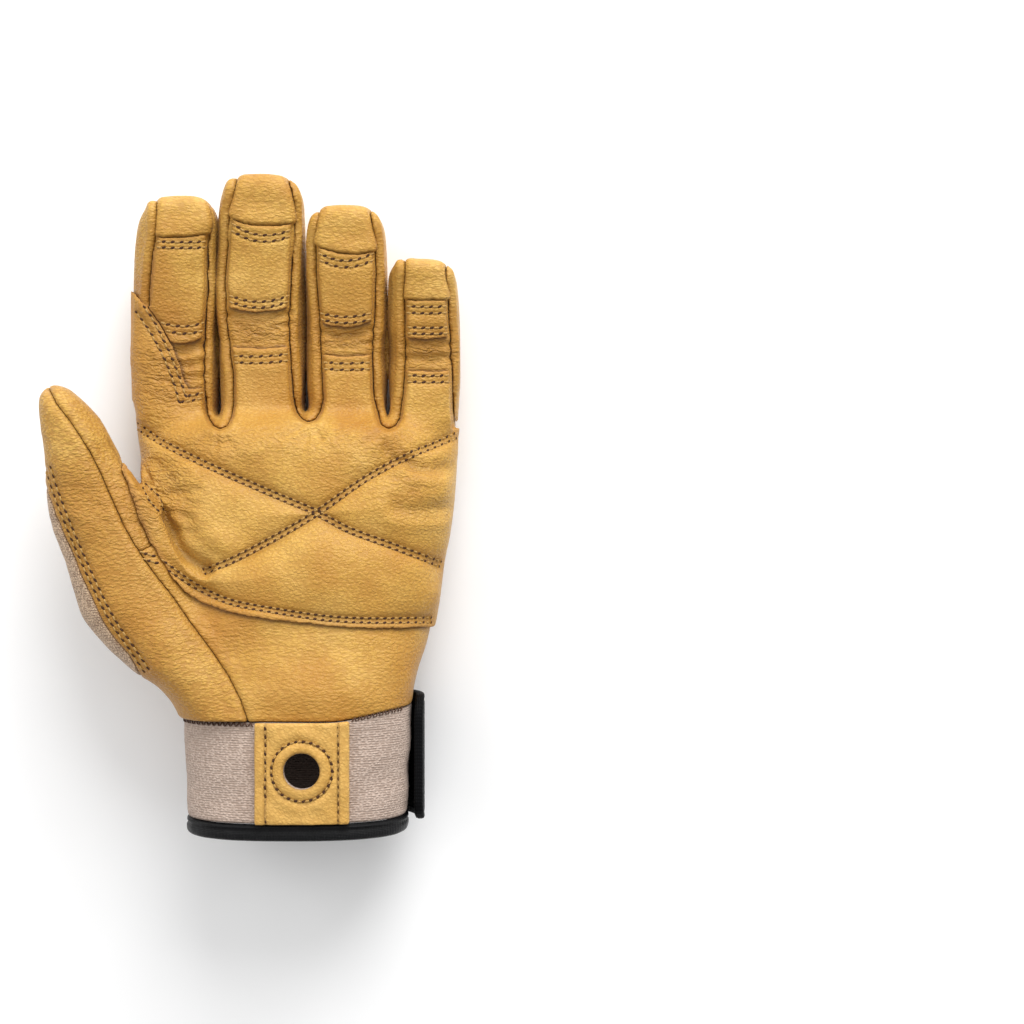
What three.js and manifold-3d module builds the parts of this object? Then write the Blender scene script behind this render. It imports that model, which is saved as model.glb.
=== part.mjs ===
// A leather climbing and belay glove for the left hand, lying on its back with the palm up.
// Millimetres. +X runs from the thumb to the little finger, +Y from the cuff's hem to the fingertips
// and +Z up out of the palm. The glove is lofted from sections, hollowed, and cut along its seams.
import * as THREE from 'three';
import { mergeVertices } from 'three/addons/utils/BufferGeometryUtils.js';
import Module from 'manifold-3d';

const wasm = await Module();
wasm.setup();

// Materials' thicknesses and the spaces between pieces.
const leather = 1.8;
const patchLeather = 1.3;
const layerGap = 0.3;
const seamGap = 0.4;

// The cuff: an elastic band with a bound hem, a leather pull tab and a closure strap.
const cuffHeight = 39;
const cuffWidth = 77.4;
const hemWidth = 73.6;
const cuffDepth = 47.4;
const elastic = 2;
const hemHeight = 5.6;
const hemThickness = 3.4;
const tabWidth = 31;
const tabLeather = 1.6;
const tabShift = 4.4;
const hookHole = 11.9;
const hookHoleHeight = 23.4;
const hookRing = 5;
const strapThickness = 3;
const strapHeight = 43;
const strapBottom = 3;
const strapStand = 1.4;
const strapCorner = 8;
const strapEndAbove = 6;

// The palm, from the cuff seam to the finger roots. Its back is pressed flat where it lies.
const palmLength = 102;
const palmWidth = 107;
const palmDepth = 40;
const palmShift = -0.9;
const palmPressed = 0.8;
const rootOverlap = 22;

// The fingers, side by side from the index finger on. Their lengths and widths are shares of the
// middle finger's, the seams are shares of each half width, and the ends of the pads and of the
// patch are shares of each length.
const fingerLength = 83;
const fingerWidth = 30.1;
const fingerDepth = 27;
const fingerCurl = 12;
const fingerSpace = 0.7;
const fingerRowShift = -1.6;
const indexTipShift = 2.6;
const FINGERS = [
  { name: 'index', length: 0.913, width: 0.944, seams: [-0.5, 0.88], pad: [0.35, 0.81], patchEnd: 0.1 },
  { name: 'middle', length: 1, width: 1, seams: [-0.735, 0.75], pad: [0.43, 0.79], patchEnd: 0.28 },
  { name: 'ring', length: 0.873, width: 0.934, seams: [-0.67, 0.735], pad: [0.42, 0.765], patchEnd: 0.28 },
  { name: 'little', length: 0.646, width: 0.84, seams: [-0.53, 0.71], pad: [0.5, 0.74], patchEnd: 0.28 },
];

// The thumb, from its tip down to the wrist, on an axis that leans away from the palm.
const thumbLength = 119;
const thumbWidth = 34.5;
const thumbDepth = 31;
const thumbRise = 9.5;
const thumbLeanDegrees = 20.4;
const thumbRootShare = -0.531;

// How many sides each section has, and how square its corners are: 2 is an ellipse.
const palmSides = 24;
const limbSides = 16;
const insideShare = 0.375;
const palmSquareness = 2.5;
const fingerSquareness = 2.6;
const thumbSquareness = 2.2;

// The heights where the front and back panels meet, above the surface that the glove lies on.
const seamHeight = 20;
const thumbSeamHeight = 34;

// Sections of the palm. spread goes from the cuff's size at 0 to the palm's at 1; rest is the share of
// the strap's stand-off left under the wrist, and top and floor round off the end between the fingers.
const PALM_SECTIONS = [
  { along: -0.04, spread: 0, rest: 1, top: 1, floor: 0 },
  { along: 0.07, spread: 0.03, rest: 1, top: 1, floor: 0 },
  { along: 0.15, spread: 0.14, rest: 0.6, top: 1, floor: 0 },
  { along: 0.24, spread: 0.36, rest: 0.1, top: 1, floor: 0 },
  { along: 0.38, spread: 0.56, rest: 0, top: 1, floor: 0 },
  { along: 0.52, spread: 0.69, rest: 0, top: 1, floor: 0 },
  { along: 0.61, spread: 0.85, rest: 0, top: 1, floor: 0 },
  { along: 0.74, spread: 0.96, rest: 0, top: 0.98, floor: 0 },
  { along: 0.86, spread: 1, rest: 0, top: 0.91, floor: 0 },
  { along: 0.94, spread: 1, rest: 0, top: 0.81, floor: 0.02 },
  { along: 0.98, spread: 0.99, rest: 0, top: 0.72, floor: 0.07 },
  { along: 1, spread: 0.97, rest: 0, top: 0.64, floor: 0.13 },
];

// Sections of a finger, as shares of its length, width and depth and of the curl at its tip.
const FINGER_SECTIONS = [
  { along: -1, width: 0.8, depth: 0.92, lift: 0 },
  { along: 0, width: 0.93, depth: 1, lift: 0 },
  { along: 0.3, width: 1, depth: 0.98, lift: 0.08 },
  { along: 0.55, width: 1, depth: 0.93, lift: 0.25 },
  { along: 0.75, width: 0.985, depth: 0.9, lift: 0.5 },
  { along: 0.87, width: 0.93, depth: 0.83, lift: 0.7 },
  { along: 0.94, width: 0.83, depth: 0.7, lift: 0.86 },
  { along: 0.98, width: 0.72, depth: 0.54, lift: 0.96 },
  { along: 1, width: 0.55, depth: 0.36, lift: 1 },
];

// Sections of the thumb, as shares of its length, width and depth and of the rise of its tip.
const THUMB_SECTIONS = [
  { along: 0.005, across: 0.01, width: 0.2, depth: 0.25, rise: 1 },
  { along: 0.03, across: 0.02, width: 0.31, depth: 0.46, rise: 1 },
  { along: 0.1, across: 0.05, width: 0.5, depth: 0.68, rise: 0.97 },
  { along: 0.165, across: 0.065, width: 0.62, depth: 0.78, rise: 0.92 },
  { along: 0.26, across: 0.03, width: 0.79, depth: 0.9, rise: 0.76 },
  { along: 0.35, across: 0.03, width: 0.93, depth: 1, rise: 0.6 },
  { along: 0.5, across: 0.06, width: 1, depth: 1.18, rise: 0.3 },
  { along: 0.63, across: 0.09, width: 1.07, depth: 1.32, rise: 0.1 },
  { along: 0.74, across: 0.14, width: 1.05, depth: 1.42, rise: 0 },
  { along: 0.83, across: 0.23, width: 0.98, depth: 1.47, rise: 0 },
  { along: 0.91, across: 0.34, width: 0.87, depth: 1.5, rise: 0 },
  { along: 1, across: 0.45, width: 0.8, depth: 1.5, rise: 0 },
];

// Seams of the thumb, as shares of its length and width: along its middle to the cuff, and at its web.
const THUMB_MIDDLE_SEAM = [
  { along: -0.05, across: 0 },
  { along: 0.05, across: 0 },
  { along: 0.12, across: 0.08 },
  { along: 0.21, across: 0.15 },
  { along: 0.37, across: 0.2 },
  { along: 0.52, across: 0.24 },
  { along: 0.7, across: 0.43 },
  { along: 0.8, across: 0.52 },
  { along: 0.9, across: 0.62 },
  { along: 1, across: 0.7 },
  { along: 1.2, across: 0.7 },
];
const THUMB_WEB_SEAM = [
  { along: 0.14, across: 0.41 },
  { along: 0.28, across: 0.375 },
  { along: 0.45, across: 0.375 },
  { along: 0.59, across: 0.43 },
];
const THUMB_STRIP_END = 0.54;
const THUMB_STRIP_SIDE = 0.46;

// The top edge of the cloth at the thumb's outer side, as shares of the thumb's length and seam height.
const THUMB_CLOTH_EDGE = [
  { along: 0.2, height: 0 },
  { along: 0.3, height: 0.97 },
  { along: 0.5, height: 1.03 },
  { along: 0.7, height: 0.93 },
  { along: 0.84, height: 0.62 },
  { along: 0.9, height: 0.5 },
];

// The lower edge of the palm patch from the thumb web on, as shares of the palm's width and length.
const PATCH_LOWER_EDGE = [
  { across: -0.32, along: 0.42 },
  { across: -0.23, along: 0.365 },
  { across: -0.15, along: 0.34 },
  { across: 0.03, along: 0.313 },
  { across: 0.23, along: 0.3 },
  { across: 0.55, along: 0.302 },
];

// The slanted edge of the palm patch on the index finger, as shares of the finger's length and half width.
const PATCH_INDEX_EDGE = [
  { along: 0.57, across: -1.4 },
  { along: 0.56, across: -0.95 },
  { along: 0.47, across: -0.45 },
  { along: 0.378, across: -0.13 },
  { along: 0.293, across: 0.1 },
  { along: 0.199, across: 0.32 },
  { along: 0.098, across: 0.42 },
];
const KNUCKLE_LINE = 0.83;
const ROOT_DIP = 0.044;

// What is worked out from the sizes above.
const hemProud = (hemThickness - elastic) / 2;
const strapStandOff = strapThickness + layerGap + hemProud;
const wristMiddle = strapStandOff + cuffDepth / 2;
const rootLine = cuffHeight + palmLength;
const beyond = 60;
const fingers = FINGERS.map((row) => ({
  ...row,
  length: fingerLength * row.length,
  width: fingerWidth * row.width,
}));
const fingerRowWidth = fingers.reduce((sum, finger) => sum + finger.width + fingerSpace, -fingerSpace);
fingers.reduce((edge, finger) => {
  finger.middle = edge + finger.width / 2;
  return edge + finger.width + fingerSpace;
}, fingerRowShift - fingerRowWidth / 2);
const thumbLean = THREE.MathUtils.degToRad(thumbLeanDegrees);
const thumbDown = new THREE.Vector2(Math.sin(thumbLean), -Math.cos(thumbLean));
const thumbAcross = new THREE.Vector2(Math.cos(thumbLean), Math.sin(thumbLean));
const thumbTip = new THREE.Vector2(cuffWidth * thumbRootShare, cuffHeight)
  .addScaledVector(thumbDown, -thumbLength);

// A point in plan on the thumb, at a distance from its tip and to the side of its axis.
function thumbPoint(along, across) {
  return thumbTip.clone()
    .addScaledVector(thumbDown, along)
    .addScaledVector(thumbAcross, across);
}

// A manifold-3d solid from a closed three.js geometry.
function solidOf(geometry) {
  const bare = geometry.index ? geometry.toNonIndexed() : geometry.clone();
  bare.deleteAttribute('normal');
  bare.deleteAttribute('uv');
  const merged = mergeVertices(bare, 1e-4);
  return new wasm.Manifold(new wasm.Mesh({
    numProp: 3,
    vertProperties: merged.attributes.position.array,
    triVerts: new Uint32Array(merged.index.array),
  }));
}

// A closed solid through rings of points, with a flat end at each side.
function loft(rings) {
  const count = rings[0].length;
  const last = (rings.length - 1) * count;
  const triangles = [];
  for (let row = 0; row + 1 < rings.length; row += 1) {
    for (let i = 0; i < count; i += 1) {
      const a = row * count + i;
      const b = row * count + ((i + 1) % count);
      triangles.push(a, b, b + count, a, b + count, a + count);
    }
  }
  for (let i = 1; i + 1 < count; i += 1) {
    triangles.push(0, i + 1, i, last, last + i, last + i + 1);
  }
  const geometry = new THREE.BufferGeometry().setFromPoints(rings.flat());
  geometry.setIndex(triangles);
  const made = solidOf(geometry);
  return made.volume() < 0 ? solidOf(turned(geometry)) : made;
}

// The same geometry with every face turned round.
function turned(geometry) {
  const index = Array.from(geometry.index.array);
  for (let i = 0; i < index.length; i += 3) {
    [index[i + 1], index[i + 2]] = [index[i + 2], index[i + 1]];
  }
  return geometry.clone().setIndex(index);
}

// A section: a rounded box round a middle, its half sizes cut by the inset and its underside kept flat.
// The inside of a wall has fewer sides than the outside.
function section({ middle, halfWidth, height, halfDepth, place, sides, squareness, inset }) {
  const power = (value) => Math.sign(value) * Math.abs(value) ** (2 / squareness);
  const count = inset > 0 ? 2 * Math.round(sides * insideShare) : sides;
  return Array.from({ length: count }, (_, i) => {
    const angle = (2 * Math.PI * (i + 0.5)) / count;
    const plan = place(middle + (halfWidth - inset) * power(Math.cos(angle)));
    const up = height + (halfDepth - inset) * power(Math.sin(angle));
    return new THREE.Vector3(plan.x, plan.y, Math.max(up, inset));
  });
}

// The palm's solid, its walls moved in by the inset.
function palmSolid(inset) {
  return loft(PALM_SECTIONS.map((row) => {
    const width = THREE.MathUtils.lerp(cuffWidth, palmWidth, row.spread);
    const top = THREE.MathUtils.lerp(strapStandOff + cuffDepth, palmDepth, row.spread) * row.top;
    const low = strapStandOff * row.rest + palmDepth * row.floor - palmPressed * (1 - row.rest);
    const y = cuffHeight + palmLength * row.along - (row.along > 0.5 ? inset : 0);
    return section({
      middle: palmShift * row.spread,
      halfWidth: width / 2,
      height: (top + low) / 2,
      halfDepth: (top - low) / 2,
      place: (x) => new THREE.Vector2(x, y),
      sides: palmSides,
      squareness: palmSquareness,
      inset,
    });
  }));
}

// The height of a finger's middle at a share of its length.
function fingerMiddle(lift) {
  return fingerDepth / 2 + fingerCurl * lift;
}

function fingerSolid(finger, inset) {
  return loft(FINGER_SECTIONS.map((row) => {
    const along = row.along < 0 ? rootOverlap * row.along : (finger.length - inset) * row.along;
    const shift = finger === fingers[0] ? indexTipShift * row.lift ** 2 : 0;
    return section({
      middle: finger.middle + shift,
      halfWidth: (finger.width * row.width) / 2,
      height: fingerMiddle(row.lift),
      halfDepth: (fingerDepth * row.depth) / 2,
      place: (x) => new THREE.Vector2(x, rootLine + along),
      sides: limbSides,
      squareness: fingerSquareness,
      inset: Math.min(inset, finger.width * row.width * 0.4, fingerDepth * row.depth * 0.4),
    });
  }));
}

function thumbSolid(inset) {
  return loft(THUMB_SECTIONS.map((row) => {
    const along = THREE.MathUtils.lerp(inset, thumbLength, row.along);
    return section({
      middle: thumbWidth * row.across,
      halfWidth: (thumbWidth * row.width) / 2,
      height: wristMiddle + thumbRise * row.rise,
      halfDepth: (thumbDepth * row.depth) / 2,
      place: (across) => thumbPoint(along, across),
      sides: limbSides,
      squareness: thumbSquareness,
      inset: Math.min(inset, thumbWidth * row.width * 0.4, thumbDepth * row.depth * 0.4),
    });
  }));
}

// The whole hand as one solid, its walls moved in by the inset, and kept above the cuff.
function handSolid(inset) {
  return fingers.map((finger) => fingerSolid(finger, inset))
    .reduce((whole, finger) => whole.add(finger), palmSolid(inset).add(thumbSolid(inset)));
}

// An upright prism over an outline in plan.
function prism(points, low = -beyond, high = 2 * beyond) {
  const geometry = new THREE.ExtrudeGeometry(new THREE.Shape(points), {
    depth: high - low,
    bevelEnabled: false,
    curveSegments: 8,
  });
  return solidOf(geometry.translate(0, 0, low));
}

// The largest of a solid's bodies, without the crumbs that two nearly equal walls leave.
function mainBody(made) {
  return made.decompose().sort((a, b) => b.volume() - a.volume())[0];
}

// A box between two corners.
function block(low, high) {
  const size = high.map((value, i) => value - low[i]);
  const middle = high.map((value, i) => (value + low[i]) / 2);
  return solidOf(new THREE.BoxGeometry(...size).translate(...middle));
}

const corner = (x, y) => new THREE.Vector2(x, y);
const leatherStart = cuffHeight + layerGap;
const aboveCuff = block([-3 * beyond, leatherStart, -beyond], [3 * beyond, 5 * beyond, 2 * beyond]);
const shell = handSolid(0).subtract(handSolid(leather)).intersect(aboveCuff);

// The x of a finger's seam, given as a share of its half width.
function seamX(finger, share) {
  return finger.middle + (finger.width / 2) * share;
}

// In plan, the U between two fingers: from the right seam of one to the left seam of the next.
function slotRegion(left, right, grow) {
  const x0 = seamX(left, left.seams[1]) - grow;
  const x1 = seamX(right, right.seams[0]) + grow;
  const radius = (x1 - x0) / 2;
  const low = rootLine - palmLength * ROOT_DIP + radius - grow;
  const top = rootLine + Math.max(left.length, right.length) + beyond;
  const outline = new THREE.Path();
  outline.moveTo(x0, top).lineTo(x0, low);
  outline.absarc((x0 + x1) / 2, low, radius, Math.PI, 2 * Math.PI, false);
  outline.lineTo(x1, top);
  return outline.getPoints(5);
}

// In plan, the strip outside the index finger's or the little finger's outer seam.
function sideRegion(finger, side, share, start, grow) {
  const seam = seamX(finger, share) - side * grow;
  const outer = finger.middle + side * finger.width;
  const low = rootLine + finger.length * start - grow;
  const top = rootLine + finger.length + beyond;
  const points = [corner(seam, low), corner(outer, low), corner(outer, top), corner(seam, top)];
  return side > 0 ? points : points.reverse();
}

const seamPoints = (table, move) => table.map(({ along, across }) => (
  thumbPoint(thumbLength * along, thumbWidth * across + move)
));

// In plan, all that lies outside the thumb's middle seam.
function thumbOuterRegion(grow) {
  return [
    ...seamPoints(THUMB_MIDDLE_SEAM, grow),
    thumbPoint(thumbLength * 1.2, -thumbWidth * 2),
    thumbPoint(-thumbLength * 0.05, -thumbWidth * 2),
  ].reverse();
}

// In plan, the strip between the thumb's middle seam and its web.
function thumbInnerRegion(grow) {
  const middle = THUMB_MIDDLE_SEAM.filter((row) => row.along < THUMB_STRIP_END);
  const outerLimit = thumbWidth * THUMB_STRIP_SIDE + grow;
  return [
    ...seamPoints(middle, seamGap - grow),
    thumbPoint(thumbLength * THUMB_STRIP_END + grow, thumbWidth * 0.26 + seamGap - grow),
    thumbPoint(thumbLength * THUMB_STRIP_END + grow, thumbWidth * 0.4 + grow),
    thumbPoint(thumbLength * 0.45, thumbWidth * 0.375 + grow),
    thumbPoint(thumbLength * 0.34, outerLimit),
    thumbPoint(-thumbLength * 0.05, outerLimit),
  ];
}

// The prism under the cloth's edge, running across the thumb.
function underThumbCloth(grow) {
  const profile = THUMB_CLOTH_EDGE.map(({ along, height }) => (
    corner(thumbLength * along, thumbSeamHeight * height + grow)
  ));
  const outline = [
    corner(thumbLength * 1.2, seamHeight * 0.9 + grow),
    corner(thumbLength * 1.2, -beyond),
    corner(thumbLength * THUMB_CLOTH_EDGE[0].along - grow, -beyond),
    ...profile,
  ];
  const geometry = new THREE.ExtrudeGeometry(new THREE.Shape(outline), {
    depth: 6 * beyond,
    bevelEnabled: false,
  });
  const start = thumbPoint(0, 2 * beyond);
  const down = new THREE.Vector3(thumbDown.x, thumbDown.y, 0);
  const up = new THREE.Vector3(0, 0, 1);
  const frame = new THREE.Matrix4().makeBasis(down, up, new THREE.Vector3().crossVectors(down, up));
  return solidOf(geometry.applyMatrix4(frame.setPosition(start.x, start.y, 0)));
}

const [index, middle, ring, little] = fingers;
const slots = (grow) => [[index, middle], [middle, ring], [ring, little]]
  .map(([left, right]) => prism(slotRegion(left, right, grow)));
const indexSide = (grow) => prism(sideRegion(index, -1, index.seams[0], 0.12, grow));
const littleSide = (grow) => prism(sideRegion(little, 1, little.seams[1], 0, grow));
const joined = (solids) => solids.reduce((whole, solid) => whole.add(solid));
const fingerSides = (grow) => joined([...slots(grow), indexSide(grow), littleSide(grow)]);

// The half space under the front panels, the part of it behind the knuckles, and the thumb's regions.
const everywhere = 3 * beyond;
const under = (height) => block([-everywhere, -beyond, -beyond], [everywhere, 5 * beyond, height]);
const knuckleY = cuffHeight + palmLength * KNUCKLE_LINE;
const behindKnuckles = (move) => block(
  [seamX(index, -1) - beyond / 6, -beyond, -beyond],
  [everywhere, knuckleY + move, 2 * beyond],
);
const thumbOuter = (grow) => prism(thumbOuterRegion(grow));
const thumbInner = (grow) => prism(thumbInnerRegion(grow));
const thumbBack = (grow) => underThumbCloth(grow).intersect(thumbOuter(grow).add(thumbInner(grow)));

// The slab between the slits at a finger's sides, open at the outside of the hand.
function fingerSlab(finger) {
  const reach = (finger.width + fingerSpace - seamGap) / 2;
  const left = finger === index ? -everywhere : finger.middle - reach;
  const right = finger === little ? everywhere : finger.middle + reach;
  return block([left, -beyond, -beyond], [right, 5 * beyond, 2 * beyond]);
}

// The leather and cloth panels of the hand. The back's cloth goes on over the thumb's back.
function panels() {
  const aside = fingerSides(seamGap);
  const thumbWhole = (grow) => thumbOuter(grow).add(thumbInner(grow));
  const front = shell.subtract(under(seamHeight + seamGap)).subtract(aside);
  const low = shell.intersect(under(seamHeight)).subtract(aside);
  const clothRegion = thumbBack(0).add(thumbBack(seamGap).intersect(under(seamHeight - seamGap)));
  const handBack = low.subtract(thumbWhole(seamGap / 2)).intersect(behindKnuckles(0));
  const fingerBacks = low.subtract(thumbWhole(seamGap)).subtract(behindKnuckles(seamGap));
  const [slotA, slotB, slotC] = slots(0);
  return {
    ...Object.fromEntries(fingers.map((finger) => (
      [`${finger.name}_back_leather`, fingerBacks.intersect(fingerSlab(finger))]
    ))),
    palm_leather: front.subtract(thumbWhole(seamGap)),
    hand_back_cloth: handBack.add(shell.intersect(clothRegion)),
    fourchette_index_middle: shell.intersect(slotA),
    fourchette_middle_ring: shell.intersect(slotB),
    fourchette_ring_little: shell.intersect(slotC),
    index_side_wall: shell.intersect(indexSide(0)).subtract(thumbWhole(seamGap)),
    little_side_wall: shell.intersect(littleSide(0)),
    thumb_outer_leather: shell.intersect(thumbOuter(0)).subtract(underThumbCloth(seamGap)),
    thumb_inner_leather: shell.intersect(thumbInner(0)).subtract(underThumbCloth(seamGap)),
  };
}

// The skin that a patch is cut from, one layer's gap above the leather.
const patchSkin = handSolid(-layerGap - patchLeather).subtract(handSolid(-layerGap))
  .intersect(aboveCuff)
  .subtract(under(seamHeight - 2));

// In plan, the wide patch over the palm, with a tongue up each finger.
function patchOutline(grow) {
  const lower = PATCH_LOWER_EDGE.map(({ across, along }) => (
    corner(palmShift + palmWidth * across, cuffHeight + palmLength * along)
  ));
  const indexEdge = PATCH_INDEX_EDGE.map(({ along, across }) => (
    corner(seamX(index, across), rootLine + index.length * along + grow)
  ));
  const tongues = [middle, ring, little].flatMap((finger) => {
    const y = rootLine + finger.length * finger.patchEnd;
    const far = finger === little ? finger.middle + finger.width : seamX(finger, 1);
    return [corner(seamX(finger, -1), y), corner(far, y)];
  });
  return [
    ...lower,
    corner(palmShift + palmWidth * PATCH_LOWER_EDGE.at(-1).across, rootLine),
    ...tongues.reverse(),
    corner(seamX(index, 1), rootLine + index.length * index.patchEnd + grow),
    ...indexEdge.reverse(),
    corner(seamX(index, -1.4), rootLine - palmLength * 0.12),
  ];
}

// In plan, the part of that patch over the thumb's web, from the web's seam into the palm.
const webOutline = () => [
  ...seamPoints(THUMB_WEB_SEAM, seamGap),
  thumbPoint(thumbLength * THUMB_WEB_SEAM.at(-1).along, thumbWidth * 1.2),
  thumbPoint(thumbLength * THUMB_WEB_SEAM[0].along, thumbWidth * 1.2),
];
const palmPatch = () => patchSkin.intersect(prism(patchOutline(0)).add(prism(webOutline())))
  .subtract(joined([...slots(seamGap), littleSide(seamGap)]));

// A finger's pad: the patch between two rows of stitches on its front.
function fingerPad(finger) {
  const [y0, y1] = finger.pad.map((share) => rootLine + finger.length * share);
  const x0 = seamX(finger, finger.seams[0]) + seamGap;
  const x1 = seamX(finger, finger.seams[1]) - seamGap;
  const droop = (x1 - x0) * 0.08;
  const outline = [
    corner(x0, y0 + droop), corner((x0 + x1) / 2, y0), corner(x1, y0 + droop),
    corner(x1, y1), corner((x0 + x1) / 2, y1 - droop), corner(x0, y1),
  ];
  return patchSkin.intersect(prism(outline)).subtract(prism(patchOutline(2 * seamGap)))
    .subtract(under(seamHeight));
}

// A section of the cuff at a height above the hem, its wall moved in by the inset.
function cuffSection(y, inset, floorInset = inset, bottomWidth = hemWidth) {
  return section({
    middle: 0,
    halfWidth: THREE.MathUtils.lerp(bottomWidth, cuffWidth, y / cuffHeight) / 2,
    height: wristMiddle,
    halfDepth: cuffDepth / 2,
    place: (x) => corner(x, y),
    sides: palmSides,
    squareness: palmSquareness,
    inset,
  }).map((point) => point.setZ(Math.max(point.z, strapStandOff + floorInset)));
}

// A sleeve round the cuff between two heights and two insets.
function sleeve(y0, y1, outer, inner) {
  const slip = 1;
  return loft([cuffSection(y0, outer), cuffSection(y1, outer)])
    .subtract(loft([cuffSection(y0 - slip, inner), cuffSection(y1 + slip, inner)]));
}

const tabMiddle = tabShift;
const roundPrism = (radius) => {
  const outline = new THREE.Path().absarc(tabMiddle, hookHoleHeight, radius, 0, 2 * Math.PI, false);
  return prism(outline.getPoints(14).slice(0, -1), wristMiddle);
};

// The cuff's pieces. The hook hole goes through the tab and the elastic behind it.
function cuffParts() {
  const hole = roundPrism(hookHole / 2);
  const elasticStart = hemHeight + layerGap;
  const band = sleeve(elasticStart, cuffHeight, 0, elastic).subtract(hole);
  const tabLevel = -layerGap - tabLeather;
  const tabBox = block(
    [tabMiddle - tabWidth / 2, elasticStart, wristMiddle],
    [tabMiddle + tabWidth / 2, cuffHeight, 2 * beyond],
  );
  const ringLevel = tabLevel - layerGap - tabLeather / 2;
  const ringWall = sleeve(elasticStart, cuffHeight, ringLevel, tabLevel - layerGap);
  return {
    cuff_elastic: band,
    cuff_tab: sleeve(elasticStart, cuffHeight, tabLevel, -layerGap).intersect(tabBox).subtract(hole),
    hook_hole_ring: ringWall.intersect(roundPrism(hookHole / 2 + hookRing)).subtract(hole),
    cuff_hem_binding: sleeve(0, hemHeight, -hemProud, elastic + hemProud),
    closure_strap: closureStrap(),
  };
}

// The strap: from the cuff's thumb side across its back and up round the little finger's side.
function closureStrap() {
  const y0 = strapBottom;
  const y1 = strapBottom + strapHeight;
  const wall = (inset, slip) => loft([y0 - slip, y1 + slip].map((y) => (
    cuffSection(y, inset - strapStand, inset + strapThickness - strapStandOff, cuffWidth)
  )));
  const ringWall = wall(-strapThickness, 0).subtract(wall(0, 1));
  const end = wristMiddle + strapEndAbove;
  const outline = new THREE.Path();
  outline.moveTo(y0, -beyond).lineTo(y1, -beyond).lineTo(y1, end - strapCorner);
  outline.absarc(y1 - strapCorner, end - strapCorner, strapCorner, 0, Math.PI / 2, false);
  outline.lineTo(y0 + strapCorner, end);
  outline.absarc(y0 + strapCorner, end - strapCorner, strapCorner, Math.PI / 2, Math.PI, false);
  const geometry = new THREE.ExtrudeGeometry(new THREE.Shape(outline.getPoints(4)), {
    depth: 2 * beyond,
    bevelEnabled: false,
  });
  const axes = [new THREE.Vector3(0, 1, 0), new THREE.Vector3(0, 0, 1), new THREE.Vector3(1, 0, 0)];
  const keep = solidOf(geometry.applyMatrix4(new THREE.Matrix4().makeBasis(...axes)));
  const acrossBack = block([-cuffWidth * 0.25, -beyond, -beyond], [layerGap, 2 * beyond, wristMiddle]);
  return ringWall.intersect(keep.add(acrossBack));
}

// Colours and finishes.
const finish = (color, roughness) => new THREE.MeshStandardMaterial({ color, roughness, metalness: 0 });
const grainLeather = finish(0xd2a352, 0.55);
const patchColour = finish(0xd6a85a, 0.55);
const knitCloth = finish(0xb59a8c, 0.9);
const blackCloth = finish(0x1b1c1f, 0.85);
const MATERIAL_OF = {
  hand_back_cloth: knitCloth,
  cuff_elastic: knitCloth,
  cuff_hem_binding: blackCloth,
  closure_strap: blackCloth,
  palm_patch: patchColour,
};

function meshOf(name, made) {
  const { vertProperties, triVerts } = mainBody(made).getMesh();
  const geometry = new THREE.BufferGeometry();
  geometry.setAttribute('position', new THREE.BufferAttribute(new Float32Array(vertProperties), 3));
  geometry.setIndex(new THREE.BufferAttribute(new Uint32Array(triVerts), 1));
  geometry.computeVertexNormals();
  const mesh = new THREE.Mesh(geometry, MATERIAL_OF[name] ?? grainLeather);
  mesh.name = name;
  return mesh;
}

const pads = Object.fromEntries(fingers.map((finger) => [`${finger.name}_pad`, fingerPad(finger)]));
const solids = { ...panels(), palm_patch: palmPatch(), ...pads, ...cuffParts() };
const glove = new THREE.Group();
glove.add(...Object.entries(solids).map(([name, made]) => meshOf(name, made)));

// The origin is on the surface that the glove lies on, under the middle of its outline.
const size = new THREE.Box3().setFromObject(glove);
const middlePoint = size.getCenter(new THREE.Vector3());
glove.position.set(-middlePoint.x, -middlePoint.y, -size.min.z);

export default glove;
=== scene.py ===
"""A left-hand climbing and belay glove, palm up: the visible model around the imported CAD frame.

Lengths are millimetres in the glove's own frame: x is 0 at the cuff's middle, y is 0 at the hem, and
z is 0 on the floor. Seams and stitches are given as points of the picture that the camera sees, and
are carried to the glove's surface under them.
"""
import math

import bpy
import numpy as np
import openvdb as vdb
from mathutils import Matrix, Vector


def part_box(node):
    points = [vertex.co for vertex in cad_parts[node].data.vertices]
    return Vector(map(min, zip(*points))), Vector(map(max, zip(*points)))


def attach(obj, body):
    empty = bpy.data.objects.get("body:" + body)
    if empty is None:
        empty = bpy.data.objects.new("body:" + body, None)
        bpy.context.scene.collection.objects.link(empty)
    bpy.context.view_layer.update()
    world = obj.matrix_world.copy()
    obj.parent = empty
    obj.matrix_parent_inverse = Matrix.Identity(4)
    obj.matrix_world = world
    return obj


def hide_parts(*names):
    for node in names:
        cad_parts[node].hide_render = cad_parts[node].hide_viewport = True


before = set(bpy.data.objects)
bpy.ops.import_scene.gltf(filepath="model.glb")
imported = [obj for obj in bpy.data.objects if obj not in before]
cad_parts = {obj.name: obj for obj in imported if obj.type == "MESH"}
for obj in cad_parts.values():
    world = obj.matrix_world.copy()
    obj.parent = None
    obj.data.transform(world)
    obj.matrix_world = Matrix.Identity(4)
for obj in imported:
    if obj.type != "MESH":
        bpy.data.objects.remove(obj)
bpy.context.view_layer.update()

# Where the glove's own frame lies in the part's frame.
PER_METRE = 1000
elastic_low, elastic_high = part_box("cuff_elastic")
hem_low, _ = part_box("cuff_hem_binding")
SHIFT = np.array([(elastic_low.x + elastic_high.x) / 2 * PER_METRE, hem_low.y * PER_METRE, 0.0])

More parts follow.
